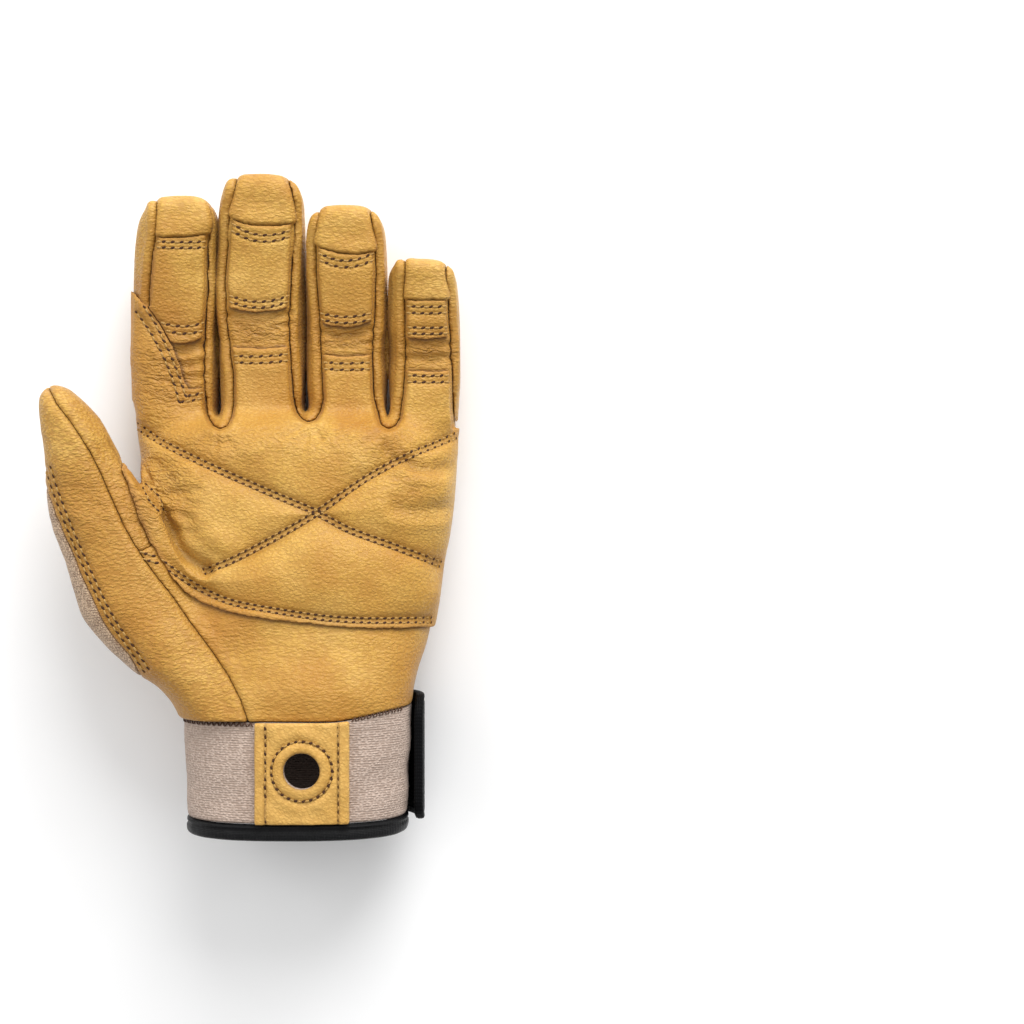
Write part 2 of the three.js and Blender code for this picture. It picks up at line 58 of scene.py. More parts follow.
# The camera: straight above, and the picture's scale at a level halfway up the glove.
EYE_X, EYE_Y, EYE_DISTANCE, EYE_LEVEL = 73.1, 108.3, 560.0, 24.0
MM_PER_PIXEL = 0.345
PICTURE = 1024
ZERO_COLUMN, ZERO_ROW = 300.0, 826.0

# The grid of the distance fields, the value far outside them, and the boxes of the hand's parts.
STEP = 0.6
FAR = 9.0
GRID_LOW = (-93.0, -3.0, -1.2)
GRID_HIGH = (62.0, 229.2, 58.2)
PALM_GRID = (-70, 62, 30, 155, -2, 60)
THUMB_GRID = (-93, -10, 28, 156, -2, 60)
NOTCH_GRID = (-82, -44, 106, 158, -2, 60)

# Thicknesses, and the gaps between layers, at seams, round the lining and above the floor.
LEATHER, PATCH, LINING_THICKNESS = 1.6, 1.3, 0.5
LAYER_GAP, SEAM_GAP, LINING_GAP, FLOOR_GAP = 0.3, 0.03, 1.0, 0.02
# How round the panels' cut edges are, and their edge at the cuff.
EDGE_ROUNDING, CUFF_EDGE_ROUNDING = 0.55, 1.0
# The level where the front of the hand meets the back.
SPLIT_HEIGHT = 20.0


def to_picture(x, y, z):
    """The picture's column and row of a point."""
    scale = EYE_DISTANCE / (EYE_DISTANCE - (z - EYE_LEVEL))
    column = ZERO_COLUMN + (EYE_X + (x - EYE_X) * scale) / MM_PER_PIXEL
    row = ZERO_ROW - (EYE_Y + (y - EYE_Y) * scale) / MM_PER_PIXEL
    return column, row


def from_picture(column, row, z):
    """The point at a height that the picture shows at a column and row."""
    scale = EYE_DISTANCE / (EYE_DISTANCE - (z - EYE_LEVEL))
    x = EYE_X + ((column - ZERO_COLUMN) * MM_PER_PIXEL - EYE_X) / scale
    y = EYE_Y + ((ZERO_ROW - row) * MM_PER_PIXEL - EYE_Y) / scale
    return x, y


def smooth_table(table, name, at):
    """A column of a table at the places asked for, on a curve that doesn't overshoot."""
    xs, ys = np.asarray(table["at"], float), np.asarray(table[name], float)
    step = np.diff(xs)
    slope = np.diff(ys) / step
    tangent = np.zeros_like(ys)
    tangent[0], tangent[-1] = slope[0], slope[-1]
    left, right = 2 * step[1:] + step[:-1], step[1:] + 2 * step[:-1]
    same = slope[:-1] * slope[1:] > 0
    safe_a = np.where(same, slope[:-1], 1)
    safe_b = np.where(same, slope[1:], 1)
    tangent[1:-1] = np.where(same, (left + right) / (left / safe_a + right / safe_b), 0)
    at = np.clip(at, xs[0], xs[-1])
    i = np.clip(np.searchsorted(xs, at, side="right") - 1, 0, len(xs) - 2)
    t = (at - xs[i]) / step[i]
    return (ys[i] * (1 + 2 * t) * (1 - t) ** 2 + tangent[i] * step[i] * t * (1 - t) ** 2
            + ys[i + 1] * t * t * (3 - 2 * t) + tangent[i + 1] * step[i] * t * t * (t - 1))


def smooth_min(a, b, reach):
    """The smaller of two distances, rounded where they meet."""
    h = np.maximum(reach - np.abs(a - b), 0) / reach
    return np.minimum(a, b) - h * h * reach / 4


def smooth_max(a, b, reach):
    """The larger of two distances, rounded where they meet."""
    return -smooth_min(-a, -b, reach)


def ease(value, low, high):
    """A soft step: 0 up to low, 1 from high on."""
    t = np.clip((value - low) / (high - low), 0, 1)
    return t * t * (3 - 2 * t)


def axis_points(low, high):
    return np.arange(low, high, STEP, dtype=np.float32)


GX, GY, GZ = (axis_points(low, high) for low, high in zip(GRID_LOW, GRID_HIGH))


def block(x0, x1, y0, y1, z0, z1):
    """The slices of the grid between these limits, and the coordinates there."""
    cuts = []
    for points, low, high in ((GX, x0, x1), (GY, y0, y1), (GZ, z0, z1)):
        cuts.append(slice(int(np.searchsorted(points, low)), int(np.searchsorted(points, high))))
    x = GX[cuts[0]][:, None, None]
    y = GY[cuts[1]][None, :, None]
    z = GZ[cuts[2]][None, None, :]
    return tuple(cuts), x, y, z


def rounded_box_distance(across, half_width, up, half_depth, power, cap=0.0):
    """About the distance to a limb whose section is a rounded box, on the grid."""
    f = (np.abs(across / half_width) ** power + np.abs(up / half_depth) ** power + cap)
    f = (f ** (1 / power) - 1).astype(np.float32)
    gx, gy, gz = np.gradient(f, STEP)
    size = np.sqrt(gx * gx + gy * gy + gz * gz)
    return f / np.maximum(size, 0.5 / np.max(half_width))


# Sections of the palm along y.
PALM = {
    "at": [30, 39, 46, 54, 63.5, 78, 92, 101, 114.5, 126.7, 135, 143],
    "half": [38.7, 38.7, 39.1, 40.8, 44.0, 47.0, 48.9, 51.0, 52.5, 53.0, 53.1, 53.3],
    "middle": [0, 0, 0, -0.1, -0.3, -0.5, -0.6, -0.9, -0.8, -0.6, -0.7, -0.7],
    "top": [51.4, 51.4, 51.1, 49.6, 47.3, 45.0, 43.5, 42.0, 40.4, 38.2, 36.0, 34.0],
    "low": [4.0, 4.0, 4.0, 2.4, 0.2, -0.8, -0.8, -0.8, -0.8, -0.8, -0.6, -0.2],
}
PALM_END, PALM_ROUNDING = 141.6, 13.0
PALM_POWER = 2.5

# The fingers: their middle, half width, length from the root line, the shift of the tip and how far
# down from it the rounding starts.
ROOT_LINE = 141.0
FINGER_DEPTH, FINGER_CURL, FINGER_POWER = 27.0, 12.0, 2.9
# Where a finger's field starts, below the root line, and how far it takes to fade into the palm.
FINGER_START, FINGER_FADE = 118, 21
# How widely the fingers and the thumb blend into the palm, and the floor's side is rounded.
FINGER_BLEND, THUMB_BLEND, FLOOR_ROUNDING = 5.0, 6.0, 1.0
FINGERS = {
    "index": (-44.25, 14.5, 75.8, 4.4, 13.0),
    "middle": (-14.3, 15.15, 83.0, 2.0, 11.0),
    "ring": (15.45, 14.15, 72.5, 0.9, 11.0),
    "little": (42.45, 12.5, 54.0, -0.6, 8.0),
}
FINGER = {
    "at": [-0.3, 0, 0.3, 0.55, 0.75, 0.87, 1],
    "width": [0.86, 0.93, 1, 1, 0.98, 0.94, 0.87],
    "depth": [0.95, 1, 0.98, 0.93, 0.9, 0.87, 0.83],
    "lift": [0, 0, 0.08, 0.25, 0.5, 0.7, 1],
}

# The thumb, from its tip down its own axis.
THUMB_TIP = (-82.6, 150.5)
THUMB_LEAN = math.radians(20.4)
THUMB = {
    "at": [-2, 0.6, 3.6, 12, 19.6, 31, 41.7, 59.5, 75, 88, 98.8, 108.3, 119, 135],
    "middle": [0.3, 0.35, 0.7, 1.7, 2.2, 1.0, 0.65, 1.4, 1.9, 4.4, 8.1, 12.5, 16, 21],
    "half": [3.0, 3.5, 5.4, 8.6, 10.7, 13.6, 16.35, 17.95, 19.7, 18.5, 16.7, 14.2, 13.3, 12.5],
    "height": [37.2, 37.2, 37.2, 36.9, 36.4, 34.9, 33.4, 30.6, 28.7, 27.7, 27.7, 27.7, 27.7, 27.7],
    "depth": [3.6, 3.9, 7.1, 10.5, 12.1, 14.0, 15.5, 18.3, 20.5, 22.0, 22.8, 23.3, 23.3, 23.3],
}


def thumb_place(x, y):
    """Distance down the thumb from its tip, and across it."""
    dx, dy = x - THUMB_TIP[0], y - THUMB_TIP[1]
    down = dx * math.sin(THUMB_LEAN) - dy * math.cos(THUMB_LEAN)
    across = dx * math.cos(THUMB_LEAN) + dy * math.sin(THUMB_LEAN)
    return down, across


def hand_distance():
    """The distance to the hand's outer surface on the whole grid."""
    hand = np.full((len(GX), len(GY), len(GZ)), FAR, np.float32)
    cuts, x, y, z = block(*PALM_GRID)
    top, low = smooth_table(PALM, "top", y), smooth_table(PALM, "low", y)
    cap = np.clip((y - PALM_END + PALM_ROUNDING) / PALM_ROUNDING, 0, None) ** PALM_POWER
    hand[cuts] = rounded_box_distance(
        x - smooth_table(PALM, "middle", y), smooth_table(PALM, "half", y),
        z - (top + low) / 2, (top - low) / 2, PALM_POWER, cap)
    palm = hand.copy()
    for middle, half, length, tip_shift, rounding in FINGERS.values():
        reach = half + 9
        cuts, x, y, z = block(middle - reach, middle + reach, FINGER_START, ROOT_LINE + length + 6, -2, 60)
        share = (y - ROOT_LINE) / length
        lift = smooth_table(FINGER, "lift", share)
        depth = FINGER_DEPTH / 2 * smooth_table(FINGER, "depth", share)
        cap = np.clip((y - ROOT_LINE - length + rounding) / rounding, 0, None) ** 2.6
        finger = rounded_box_distance(
            x - middle - tip_shift * lift ** 2, half * smooth_table(FINGER, "width", share),
            z - FINGER_DEPTH / 2 - FINGER_CURL * lift, depth, FINGER_POWER, cap)
        # Below the root line the finger fades into the palm.
        finger = finger + 8 * np.clip((ROOT_LINE - y) / FINGER_FADE, 0, 1) ** 1.3
        hand[cuts] = np.minimum(hand[cuts], smooth_min(finger, palm[cuts], FINGER_BLEND))
    cuts, x, y, z = block(*THUMB_GRID)
    down, across = thumb_place(x, y)
    cap = np.clip((2.5 - down) / 2.5, 0, None) ** 2.2
    thumb = rounded_box_distance(
        across - smooth_table(THUMB, "middle", down), smooth_table(THUMB, "half", down),
        z - smooth_table(THUMB, "height", down), smooth_table(THUMB, "depth", down), 2.2, cap)
    hand[cuts] = smooth_min(hand[cuts], thumb, THUMB_BLEND)
    return smooth_max(hand, -GZ, FLOOR_ROUNDING)


HAND = hand_distance()


def top_heights(field):
    """The height of the surface seen from above in each column of the grid, filled in a little outside."""
    inside = field < 0
    any_inside = inside.any(2)
    top = field.shape[2] - 1 - np.argmax(inside[:, :, ::-1], axis=2)
    top = np.clip(top, 0, field.shape[2] - 2)
    i, j = np.indices(top.shape)
    low, high = field[i, j, top], field[i, j, top + 1]
    heights = GZ[top] + STEP * low / np.minimum(low - high, -1e-6)
    heights = np.where(any_inside, heights, 0)
    known = any_inside.astype(np.float32)
    for _ in range(8):
        total, count = heights * known, known.copy()
        for axis in (0, 1):
            for turn in (1, -1):
                total = total + np.roll(heights * known, turn, axis)
                count = count + np.roll(known, turn, axis)
        heights = np.where(known > 0, heights, total / np.maximum(count, 1))
        known = np.where(count > 0, 1.0, known)
    return np.where(known > 0, heights, 15.0).astype(np.float32)


def sample_plane(plane, u, v):
    """A plane of values between its points, at places counted in cells."""
    u = np.clip(u, 0, plane.shape[0] - 1.001)
    v = np.clip(v, 0, plane.shape[1] - 1.001)
    i, j = u.astype(int), v.astype(int)
    fu, fv = u - i, v - j
    return (plane[i, j] * (1 - fu) * (1 - fv) + plane[i + 1, j] * fu * (1 - fv)
            + plane[i, j + 1] * (1 - fu) * fv + plane[i + 1, j + 1] * fu * fv)


# Maps over the picture: one cell a pixel, columns first.
MAP_COLUMN, MAP_ROW = 15, 150
MAP_SHAPE = (470, 720)
MAP_I, MAP_J = np.indices(MAP_SHAPE).astype(np.float32)
MAP_I = MAP_I + MAP_COLUMN
MAP_J = MAP_J + MAP_ROW


def line_distance(points, closed=False):
    """Millimetres from each cell of the map to a line through points of the picture."""
    best = np.full(MAP_SHAPE, 1e6, np.float32)
    ends = list(zip(points, points[1:] + points[:1])) if closed else list(zip(points, points[1:]))
    for (ax, ay), (bx, by) in ends:
        dx, dy = bx - ax, by - ay
        length = max(dx * dx + dy * dy, 1e-9)
        t = np.clip(((MAP_I - ax) * dx + (MAP_J - ay) * dy) / length, 0, 1)
        best = np.minimum(best, (MAP_I - ax - t * dx) ** 2 + (MAP_J - ay - t * dy) ** 2)
    return np.sqrt(best) * MM_PER_PIXEL


def region(points):
    """Millimetres to the edge of an outline in the picture, negative inside it."""
    inside = np.zeros(MAP_SHAPE, bool)
    for (ax, ay), (bx, by) in zip(points, points[1:] + points[:1]):
        if ay == by:
            continue
        crosses = (MAP_J >= min(ay, by)) & (MAP_J < max(ay, by))
        at = ax + (MAP_J - ay) / (by - ay) * (bx - ax)
        inside ^= crosses & (MAP_I < at)
    distance = line_distance(points, closed=True)
    return np.where(inside, -distance, distance)


def rounded(points):
    """The same line with its corners cut twice."""
    for _ in range(2):
        made = [points[0]]
        for (ax, ay), (bx, by) in zip(points, points[1:]):
            made.append((0.75 * ax + 0.25 * bx, 0.75 * ay + 0.25 * by))
            made.append((0.25 * ax + 0.75 * bx, 0.25 * ay + 0.75 * by))
        points = made + [points[-1]]
    return points


# Seams of the fingers, each from the fingertip down, and the U at each root.
INDEX_LEFT = [(157, 140), (156, 201), (156, 233), (152, 256), (148.6, 294), (147.5, 330), (147, 400)]
INDEX_RIGHT = [(209, 140), (209, 201), (209, 236), (208, 275), (206, 323), (205.6, 370), (207, 409)]
MIDDLE_LEFT = [(239, 140), (237, 177), (230, 212), (227, 240), (225, 267), (224.5, 281), (226, 296),
               (226, 321), (229, 356), (232, 374), (232.5, 401)]
MIDDLE_RIGHT = [(287, 140), (288, 179), (291, 192), (293, 210), (294, 226), (292, 267), (290.5, 303),
                (289.6, 339), (290.5, 365), (292, 392), (294, 403)]
RING_LEFT = [(320, 140), (319, 212), (315, 242), (315.7, 276), (317.5, 303), (320, 347.5), (323, 400)]
RING_RIGHT = [(370, 140), (371, 214), (374.6, 244), (375.5, 274), (374.6, 303), (373.8, 339),
              (373, 374), (374.6, 401), (378, 419)]
LITTLE_LEFT = [(406, 140), (404.6, 271), (404, 296), (405, 321), (405, 347.5), (404, 374), (403, 392),
               (401, 410)]
LITTLE_RIGHT = [(444, 140), (446, 265), (446, 278), (448, 294), (448.8, 321), (450.5, 347.5),
                (452, 374), (454, 410), (456, 428)]
ROOT_A = [(209, 419), (213, 426), (220, 430), (227, 427), (231, 418)]
ROOT_B = [(297, 412), (302, 419), (308, 421.6), (315, 419), (320, 411)]
ROOT_C = [(381, 427), (388, 430.5), (395, 427), (400, 419)]

SLOT_A = INDEX_RIGHT + ROOT_A + MIDDLE_LEFT[::-1]
SLOT_B = MIDDLE_RIGHT + ROOT_B + RING_LEFT[::-1]
SLOT_C = RING_RIGHT + ROOT_C + LITTLE_LEFT[::-1]
INDEX_SIDE = INDEX_LEFT + [(100, 400), (100, 140)]
LITTLE_SIDE = LITTLE_RIGHT + [(500, 428), (500, 140)]

# Seams of the thumb.
THUMB_SEAM = [(44, 375), (49, 390), (56, 404), (71, 423), (89, 451), (101, 474), (112, 500),
              (124, 527), (134, 545), (152, 572), (173, 598), (193, 627), (214, 655), (228, 676),
              (240, 700), (247, 720), (249, 740)]
WEB_SEAM = [(110, 437), (116, 451), (122, 466), (128, 485), (134, 503), (139, 518), (145, 531),
            (150.5, 543)]
THUMB_OUTER = THUMB_SEAM + [(-40, 740), (-40, 375)]
THUMB_INNER = THUMB_SEAM[:9] + [(139, 552), (150, 546)] + WEB_SEAM[::-1] + [(118, 425), (80, 375)]
CLOTH_EDGE = [(38, 470), (46, 486), (48.5, 494), (56, 515), (65.5, 537), (74, 557), (83, 578),
              (93, 600), (103.5, 621), (114, 638), (126, 653), (134, 664), (141, 676)]

# The palm patch: its lower edge, its edge on the index finger, and its whole outline.
PATCH_LOWER = [(154, 548), (163, 562), (173, 578), (184, 590), (200, 601), (217, 608), (238, 614),
               (270, 619.5), (303, 623), (340, 626.5), (368, 628), (400, 628), (445, 626)]
PATCH_INDEX = [(206, 387.5), (197, 389), (189.5, 389.5), (186, 384), (183, 376), (180, 366),
               (175.5, 354), (170, 342.5), (162, 329), (153, 315), (146, 306), (131, 291), (110, 277)]
PALM_PATCH = (PATCH_LOWER + [(490, 626), (490, 426), (456, 425), (453.5, 410), (452.5, 371),
                             (428, 372), (404, 370.5), (374, 355), (347, 357), (319, 355),
                             (291, 347), (260, 349), (229, 347)]
              + PATCH_INDEX + [(126, 430), (126, 439), (108, 439)] + WEB_SEAM[1:])
PADS = {
    "index": [(146, 235), (163, 238.5), (182, 238.5), (214, 234.5), (212, 329), (203, 338), (195, 342),
              (185, 344), (175, 343.5), (166, 341), (155, 335), (143, 312), (143, 300)],
    "middle": [(221, 212), (236, 221), (245, 225), (274, 227), (299, 223), (296, 305),
               (276, 311), (258, 312.5), (240, 311), (220, 304)],
    "ring": [(310, 243), (324, 250), (334, 253), (357, 256), (382, 250), (380, 319), (360, 326),
             (345, 327.5), (330, 326), (311, 319)],
    "little": [(398, 300), (425, 301.5), (454, 300), (455, 337), (427, 339.5), (398, 338)],
}

SLOTS = ("slot_a", "slot_b", "slot_c")
FINGER_SEAMS = SLOTS + ("index_side", "little_side")
LAYERS = ["patch"] + [finger + "_pad" for finger in PADS]
OUTLINES = {
    "slot_a": SLOT_A, "slot_b": SLOT_B, "slot_c": SLOT_C,
    "index_side": INDEX_SIDE, "little_side": LITTLE_SIDE,
    "thumb_outer": THUMB_OUTER, "thumb_inner": THUMB_INNER,
    "cloth": CLOTH_EDGE + [(-20, 676), (-20, 470)],
    "patch": PALM_PATCH,
}
MAPS = {name: region(outline) for name, outline in OUTLINES.items()}
MAPS["patch"] = np.maximum.reduce(
    [MAPS["patch"]] + [-MAPS[name] for name in SLOTS + ("little_side",)])
for finger, outline in PADS.items():
    MAPS[finger + "_pad"] = np.maximum.reduce(
        [region(outline)] + [-MAPS[name] for name in FINGER_SEAMS])
# The edges of the layers are a little ragged away from the seams.
RAGGED = (0.5 * np.sin(MAP_I * 0.9 + 1.7 * np.sin(MAP_J * 0.31))
          + 0.5 * np.sin(MAP_J * 1.1 + MAP_I * 0.37)
          + 0.6 * np.sin(MAP_I * 0.23 + MAP_J * 0.19)).astype(np.float32)
SEWN_SIDES = np.minimum.reduce([np.abs(MAPS[name]) for name in FINGER_SEAMS])
for name in LAYERS:
    MAPS[name] = MAPS[name] + 0.16 * RAGGED * ease(SEWN_SIDES, 0.8, 2.5)
MAPS["index_pad"] = np.maximum(MAPS["index_pad"], 0.25 - MAPS["patch"])


def sample_map(values, column, row):
    return sample_plane(values, column - MAP_COLUMN, row - MAP_ROW)


# The open notch between the thumb and the palm, cut to its outline in the picture. Its wall stands
# back by the patch's thickness, but not at the patch's tip and at the index finger's side.
WEB_NOTCH = [(103, 421), (108, 432), (112.5, 441), (123, 460), (132.5, 474), (141, 486), (141.5, 484),
             (140, 468), (137, 451), (135.7, 431), (136, 413), (136, 395)]
NOTCH_MAP = region(WEB_NOTCH)
PATCH_TIP_ROWS, PATCH_TIP_COLUMNS = (450, 476), (127, 133)
INDEX_SIDE_ROWS = (394, 418)


def cut_notch():
    cuts, x, y, z = block(*NOTCH_GRID)
    column, row = to_picture(x, y, z)
    under_layer = np.where(column < PATCH_TIP_COLUMNS[0], ease(row, *PATCH_TIP_ROWS),
                           ease(row, *INDEX_SIDE_ROWS))
    wall = (LAYER_GAP + PATCH) * under_layer - sample_map(NOTCH_MAP, column, row)
    HAND[cuts] = smooth_max(HAND[cuts], wall.astype(np.float32), 1.5)


def plan_maps():
    """The maps' values over each column of the grid."""
    x, y = np.meshgrid(GX, GY, indexing="ij")
    column, row = to_picture(x, y, top_heights(HAND))
    return {name: sample_map(values, column, row).astype(np.float32) for name, values in MAPS.items()}


cut_notch()
PLAN = plan_maps()
CUFF_TOP, CUFF_RISE = 39.3, 3.6


def cuff_edge(x):
    """How far up the leather starts: higher towards the little finger's side."""
    return CUFF_TOP + CUFF_RISE * ease(x, 13.0, 40.0)


# Rows of stitches as the picture shows them: the points of each row and the stitches' pitch.
CROSS_DOWN = [(136.5, 425.5), (162, 443), (200, 462), (238, 479), (282, 498), (316, 512), (347, 530),
              (390, 545), (440, 564)]
CROSS_UP = [(455, 436), (430, 447), (407, 456), (364, 479), (316, 514), (282, 534), (238, 558),
            (204, 572)]
LOWER_ROW = [(152, 555.5), (173, 571), (195, 586), (217, 597.5), (238, 604.5), (282, 612), (325, 618.5),
             (368, 621), (431, 620)]
WEDGE_ROW = [(136, 312), (144, 323), (152, 335), (157, 345), (162, 354), (166, 363), (170, 373),
             (174, 384), (179, 402)]
WEDGE_EDGE_ROW = [(144, 307), (153, 319.5), (160, 333), (165.5, 345), (170.5, 355), (174, 364),
                  (177.5, 373), (181, 383), (185.5, 396)]
THUMB_ROW = [(48, 468), (56, 494), (73, 537), (91, 578), (112, 621), (128, 643), (146, 670)]


def beside(points, offset):
    """The line moved sideways by a number of pixels."""
    p = np.array(points, float)
    along = np.gradient(p, axis=0)
    along /= np.linalg.norm(along, axis=1)[:, None]
    return [tuple(row) for row in p + offset * np.stack([-along[:, 1], along[:, 0]], 1)]


def double_row(points, offset, pitch):
    """A row on each side of a line."""
    return [(beside(points, -offset), pitch), (beside(points, offset), pitch)]


def level_row(x0, x1, y, sag=0.0, tilt=0.0):
    """A row across a finger: its ends, its height in the picture, and how far its middle hangs."""
    half = (x1 - x0 + ROW_OVERHANG) / 2
    return [((x0 + x1) / 2 + half * s, y + tilt * s + sag * (1 - s * s)) for s in np.linspace(-1, 1, 7)]


PALM_PITCH, FINGER_PITCH, FINE_PITCH = 2.65, 3.3, 2.6
ROW_OVERHANG = 3
ROWS = {
    "palm_patch": [
        *double_row(CROSS_DOWN, 2.6, PALM_PITCH),
        *double_row(CROSS_UP, 2.6, PALM_PITCH),
        *double_row(LOWER_ROW, 2.4, PALM_PITCH),
        (WEDGE_ROW, FINGER_PITCH), (WEDGE_EDGE_ROW, FINGER_PITCH),
        ([(182, 402), (190, 401), (205, 397.5)], FINGER_PITCH),
        ([(189, 396), (196, 394.5), (205, 392)], FINGER_PITCH),
        (level_row(232.5, 289, 354.5, 2.0, -1), FINGER_PITCH),
        (level_row(233, 289, 361, 2.0, -1), FINGER_PITCH),
        (level_row(322, 371, 362, 1.5), FINGER_PITCH), (level_row(322.5, 371, 368.5, 1.5), FINGER_PITCH),
        (level_row(406.5, 449.5, 375, 1), FINGER_PITCH), (level_row(406.5, 450, 381.5, 1), FINGER_PITCH),
        ([(146, 484.5), (151, 489), (157, 494), (161.5, 502), (162.5, 509)], FINE_PITCH),
        ([(143, 488.5), (147.6, 498.5), (152, 504.5), (157.5, 510.5)], FINE_PITCH),
    ],
    "palm_leather": [
        ([(138.5, 551), (146.3, 554), (153.5, 556)], FINGER_PITCH),
        ([(142, 558.5), (148, 560.5), (156.5, 563)], FINGER_PITCH),
    ],
    "index_pad": [
        (level_row(156, 206.5, 241.3, 1.0), FINGER_PITCH), (level_row(156, 206.5, 247, 1.2), FINGER_PITCH),
        (level_row(160, 205, 321.5, 5), FINGER_PITCH), (level_row(165, 204, 329.5, 4.2), FINGER_PITCH),
    ],
    "middle_pad": [
        ([(230.5, 222), (240, 229), (252, 234), (266, 235.5), (280, 234), (292, 229)], FINGER_PITCH),
        ([(229.5, 229), (240, 236), (252, 240.5), (266, 242), (280, 240), (292, 235)], FINGER_PITCH),
        (level_row(228.5, 289.5, 294.5, 7.5, 0), FINGER_PITCH),
        (level_row(228.5, 288.5, 300.5, 7.5, 0), FINGER_PITCH),
    ],
    "ring_pad": [
        (level_row(318, 374, 252, 9), FINGER_PITCH), (level_row(318.5, 374, 258.5, 9), FINGER_PITCH),
        (level_row(319.5, 371.5, 312.5, 4.5), FINGER_PITCH),
        (level_row(320, 371.5, 318.5, 4.5), FINGER_PITCH),
    ],
    "little_pad": [
        (level_row(406, 447, 306, 1), FINGER_PITCH), (level_row(406, 447, 312.5, 1), FINGER_PITCH),
        (level_row(407, 448, 327, 1), FINGER_PITCH), (level_row(407, 448, 333, 1), FINGER_PITCH),
    ],
    "thumb_outer_leather": double_row(THUMB_ROW, 2.6, FINGER_PITCH),
}

RANDOM = np.random.default_rng(41)


def soft_noise(cell, stretch=(1.0, 1.0), turn=0.0):
    """Smooth random values over the map, about -1 to 1, with bumps of about this many pixels."""
    c, s = math.cos(turn), math.sin(turn)
    u = (MAP_I * c + MAP_J * s) / (cell * stretch[0])
    v = (MAP_J * c - MAP_I * s) / (cell * stretch[1])
    u, v = u - u.min() + 1, v - v.min() + 1
    lattice = RANDOM.standard_normal((int(u.max()) + 4, int(v.max()) + 4)).astype(np.float32)
    i, j = u.astype(int), v.astype(int)
    fu, fv = u - i, v - j
    total = np.zeros(MAP_SHAPE, np.float32)
    for di in range(-1, 3):
        for dj in range(-1, 3):
            weight = spline_weight(fu - di) * spline_weight(fv - dj)
            total += weight * lattice[i + di, j + dj]
    return total * 1.6


def spline_weight(t):
    """The weight of a lattice value this many cells away."""
    t = np.abs(t)
    near = 2 / 3 - t * t + t ** 3 / 2
    far = np.clip(2 - t, 0, None) ** 3 / 6
    return np.where(t < 1, near, far)


def bell(distance, width):
    """1 at no distance, falling off over the width."""
    return np.exp(-(distance / width) ** 2)


def nearest_line(*lines):
    """Millimetres from each cell of the map to the nearest of these lines."""
    return np.minimum.reduce([line_distance(points) for points in lines])


FINGER_SEAM = nearest_line(SLOT_A, SLOT_B, SLOT_C, INDEX_LEFT[:5] + [(147.7, 304)], LITTLE_RIGHT)
THUMB_SEAMS = nearest_line(THUMB_SEAM, WEB_SEAM)
# The lines where neighbouring fingers touch.
SLITS = nearest_line([(219.5, 205), (218.6, 300), (218.2, 360), (219, 416)],
                     [(303, 190), (305.5, 244), (307.5, 330), (307.5, 409)],
                     [(389, 255), (390.7, 289), (389, 360), (387.5, 418)])
QUILT = nearest_line(CROSS_DOWN, CROSS_UP, LOWER_ROW)

# Puckers in the leather: lines of the picture with their depth and width in millimetres.
CREASES = [
    ([(160, 349), (180, 352), (204, 346)], 0.6, 1.3), ([(170, 362), (186, 366), (205, 362)], 0.35, 1.0),
    ([(176, 376), (190, 379), (206, 376)], 0.3, 1.0),
    ([(230, 322), (246, 327), (262, 324), (278, 327), (290, 324)], 0.5, 1.0),
    ([(236, 332), (256, 333), (276, 331)], 0.3, 0.9), ([(228, 315), (256, 321), (290, 314)], 0.7, 1.0),
    ([(318, 331), (334, 337), (352, 336), (373, 330)], 0.6, 1.1),
    ([(320, 344), (345, 347), (372, 343)], 0.4, 1.0),
    ([(405, 345), (427, 347), (449, 345)], 0.5, 1.2), ([(405, 358), (427, 359), (450, 357)], 0.5, 1.3),
    ([(165, 519), (169, 525), (173, 533), (175, 542), (182, 553), (192, 562), (204, 569)], 2.1, 2.0),
    ([(184, 532), (192, 548), (206, 560)], 0.9, 3.4), ([(165, 511), (176, 513), (192, 519)], 0.5, 1.3),
    ([(412, 466), (430, 470), (452, 466)], 1.1, 2.2), ([(396, 508), (422, 512), (452, 505)], 0.9, 2.6),
    ([(386, 450), (400, 462), (420, 470)], 0.5, 1.8),
    ([(140, 452), (152, 458), (170, 474)], 0.5, 2.2), ([(168, 470), (190, 500), (196, 530)], 0.5, 3.0),
    ([(150, 480), (166, 482), (186, 476)], 0.5, 1.3), ([(158, 490), (174, 494), (200, 490)], 0.45, 1.3),
]
# Rolls that stand up: a line, its height and its width in millimetres.
ROLLS = [
    ([(118, 452), (131, 482), (143, 505), (155, 532), (168, 556), (190, 577)], 1.5, 3.4),
    ([(414, 480), (432, 490), (450, 487)], 0.9, 4.0), ([(395, 445), (415, 452), (440, 452)], 0.5, 3.0),
    ([(188, 510), (212, 530), (226, 545)], 0.8, 5.0),
]
# How the leather gathers under each U between two fingers.
FANS = [((220, 428), 0.3), ((308, 420), 0.35), ((388, 428), 0.35)]


def spot(column, row, across, down, turn=0.0):
    """One round place of the map, 1 in its middle."""
    c, s = math.cos(turn), math.sin(turn)
    i, j = MAP_I - column, MAP_J - row
    return np.exp(-((i * c + j * s) / across) ** 2 - ((j * c - i * s) / down) ** 2)


def fine_creases(cell, stretch, turn, sharpness):
    """Thin winding lines of the leather, 1 along their middle."""
    return np.exp(-(soft_noise(cell, stretch, turn) / sharpness) ** 2)


# How high the palm patch stands between its quilting rows, how far they pull it in, and their reach.
QUILT_HEIGHT, QUILT_SINK, QUILT_REACH = 2.7, 1.0, 5.5


def seam_relief(distance, ridge, ridge_at, ridge_width):
    """A groove along a seam and a ridge beside it."""
    return ridge * bell(distance - ridge_at, ridge_width) - 0.3 * bell(distance, 0.6)


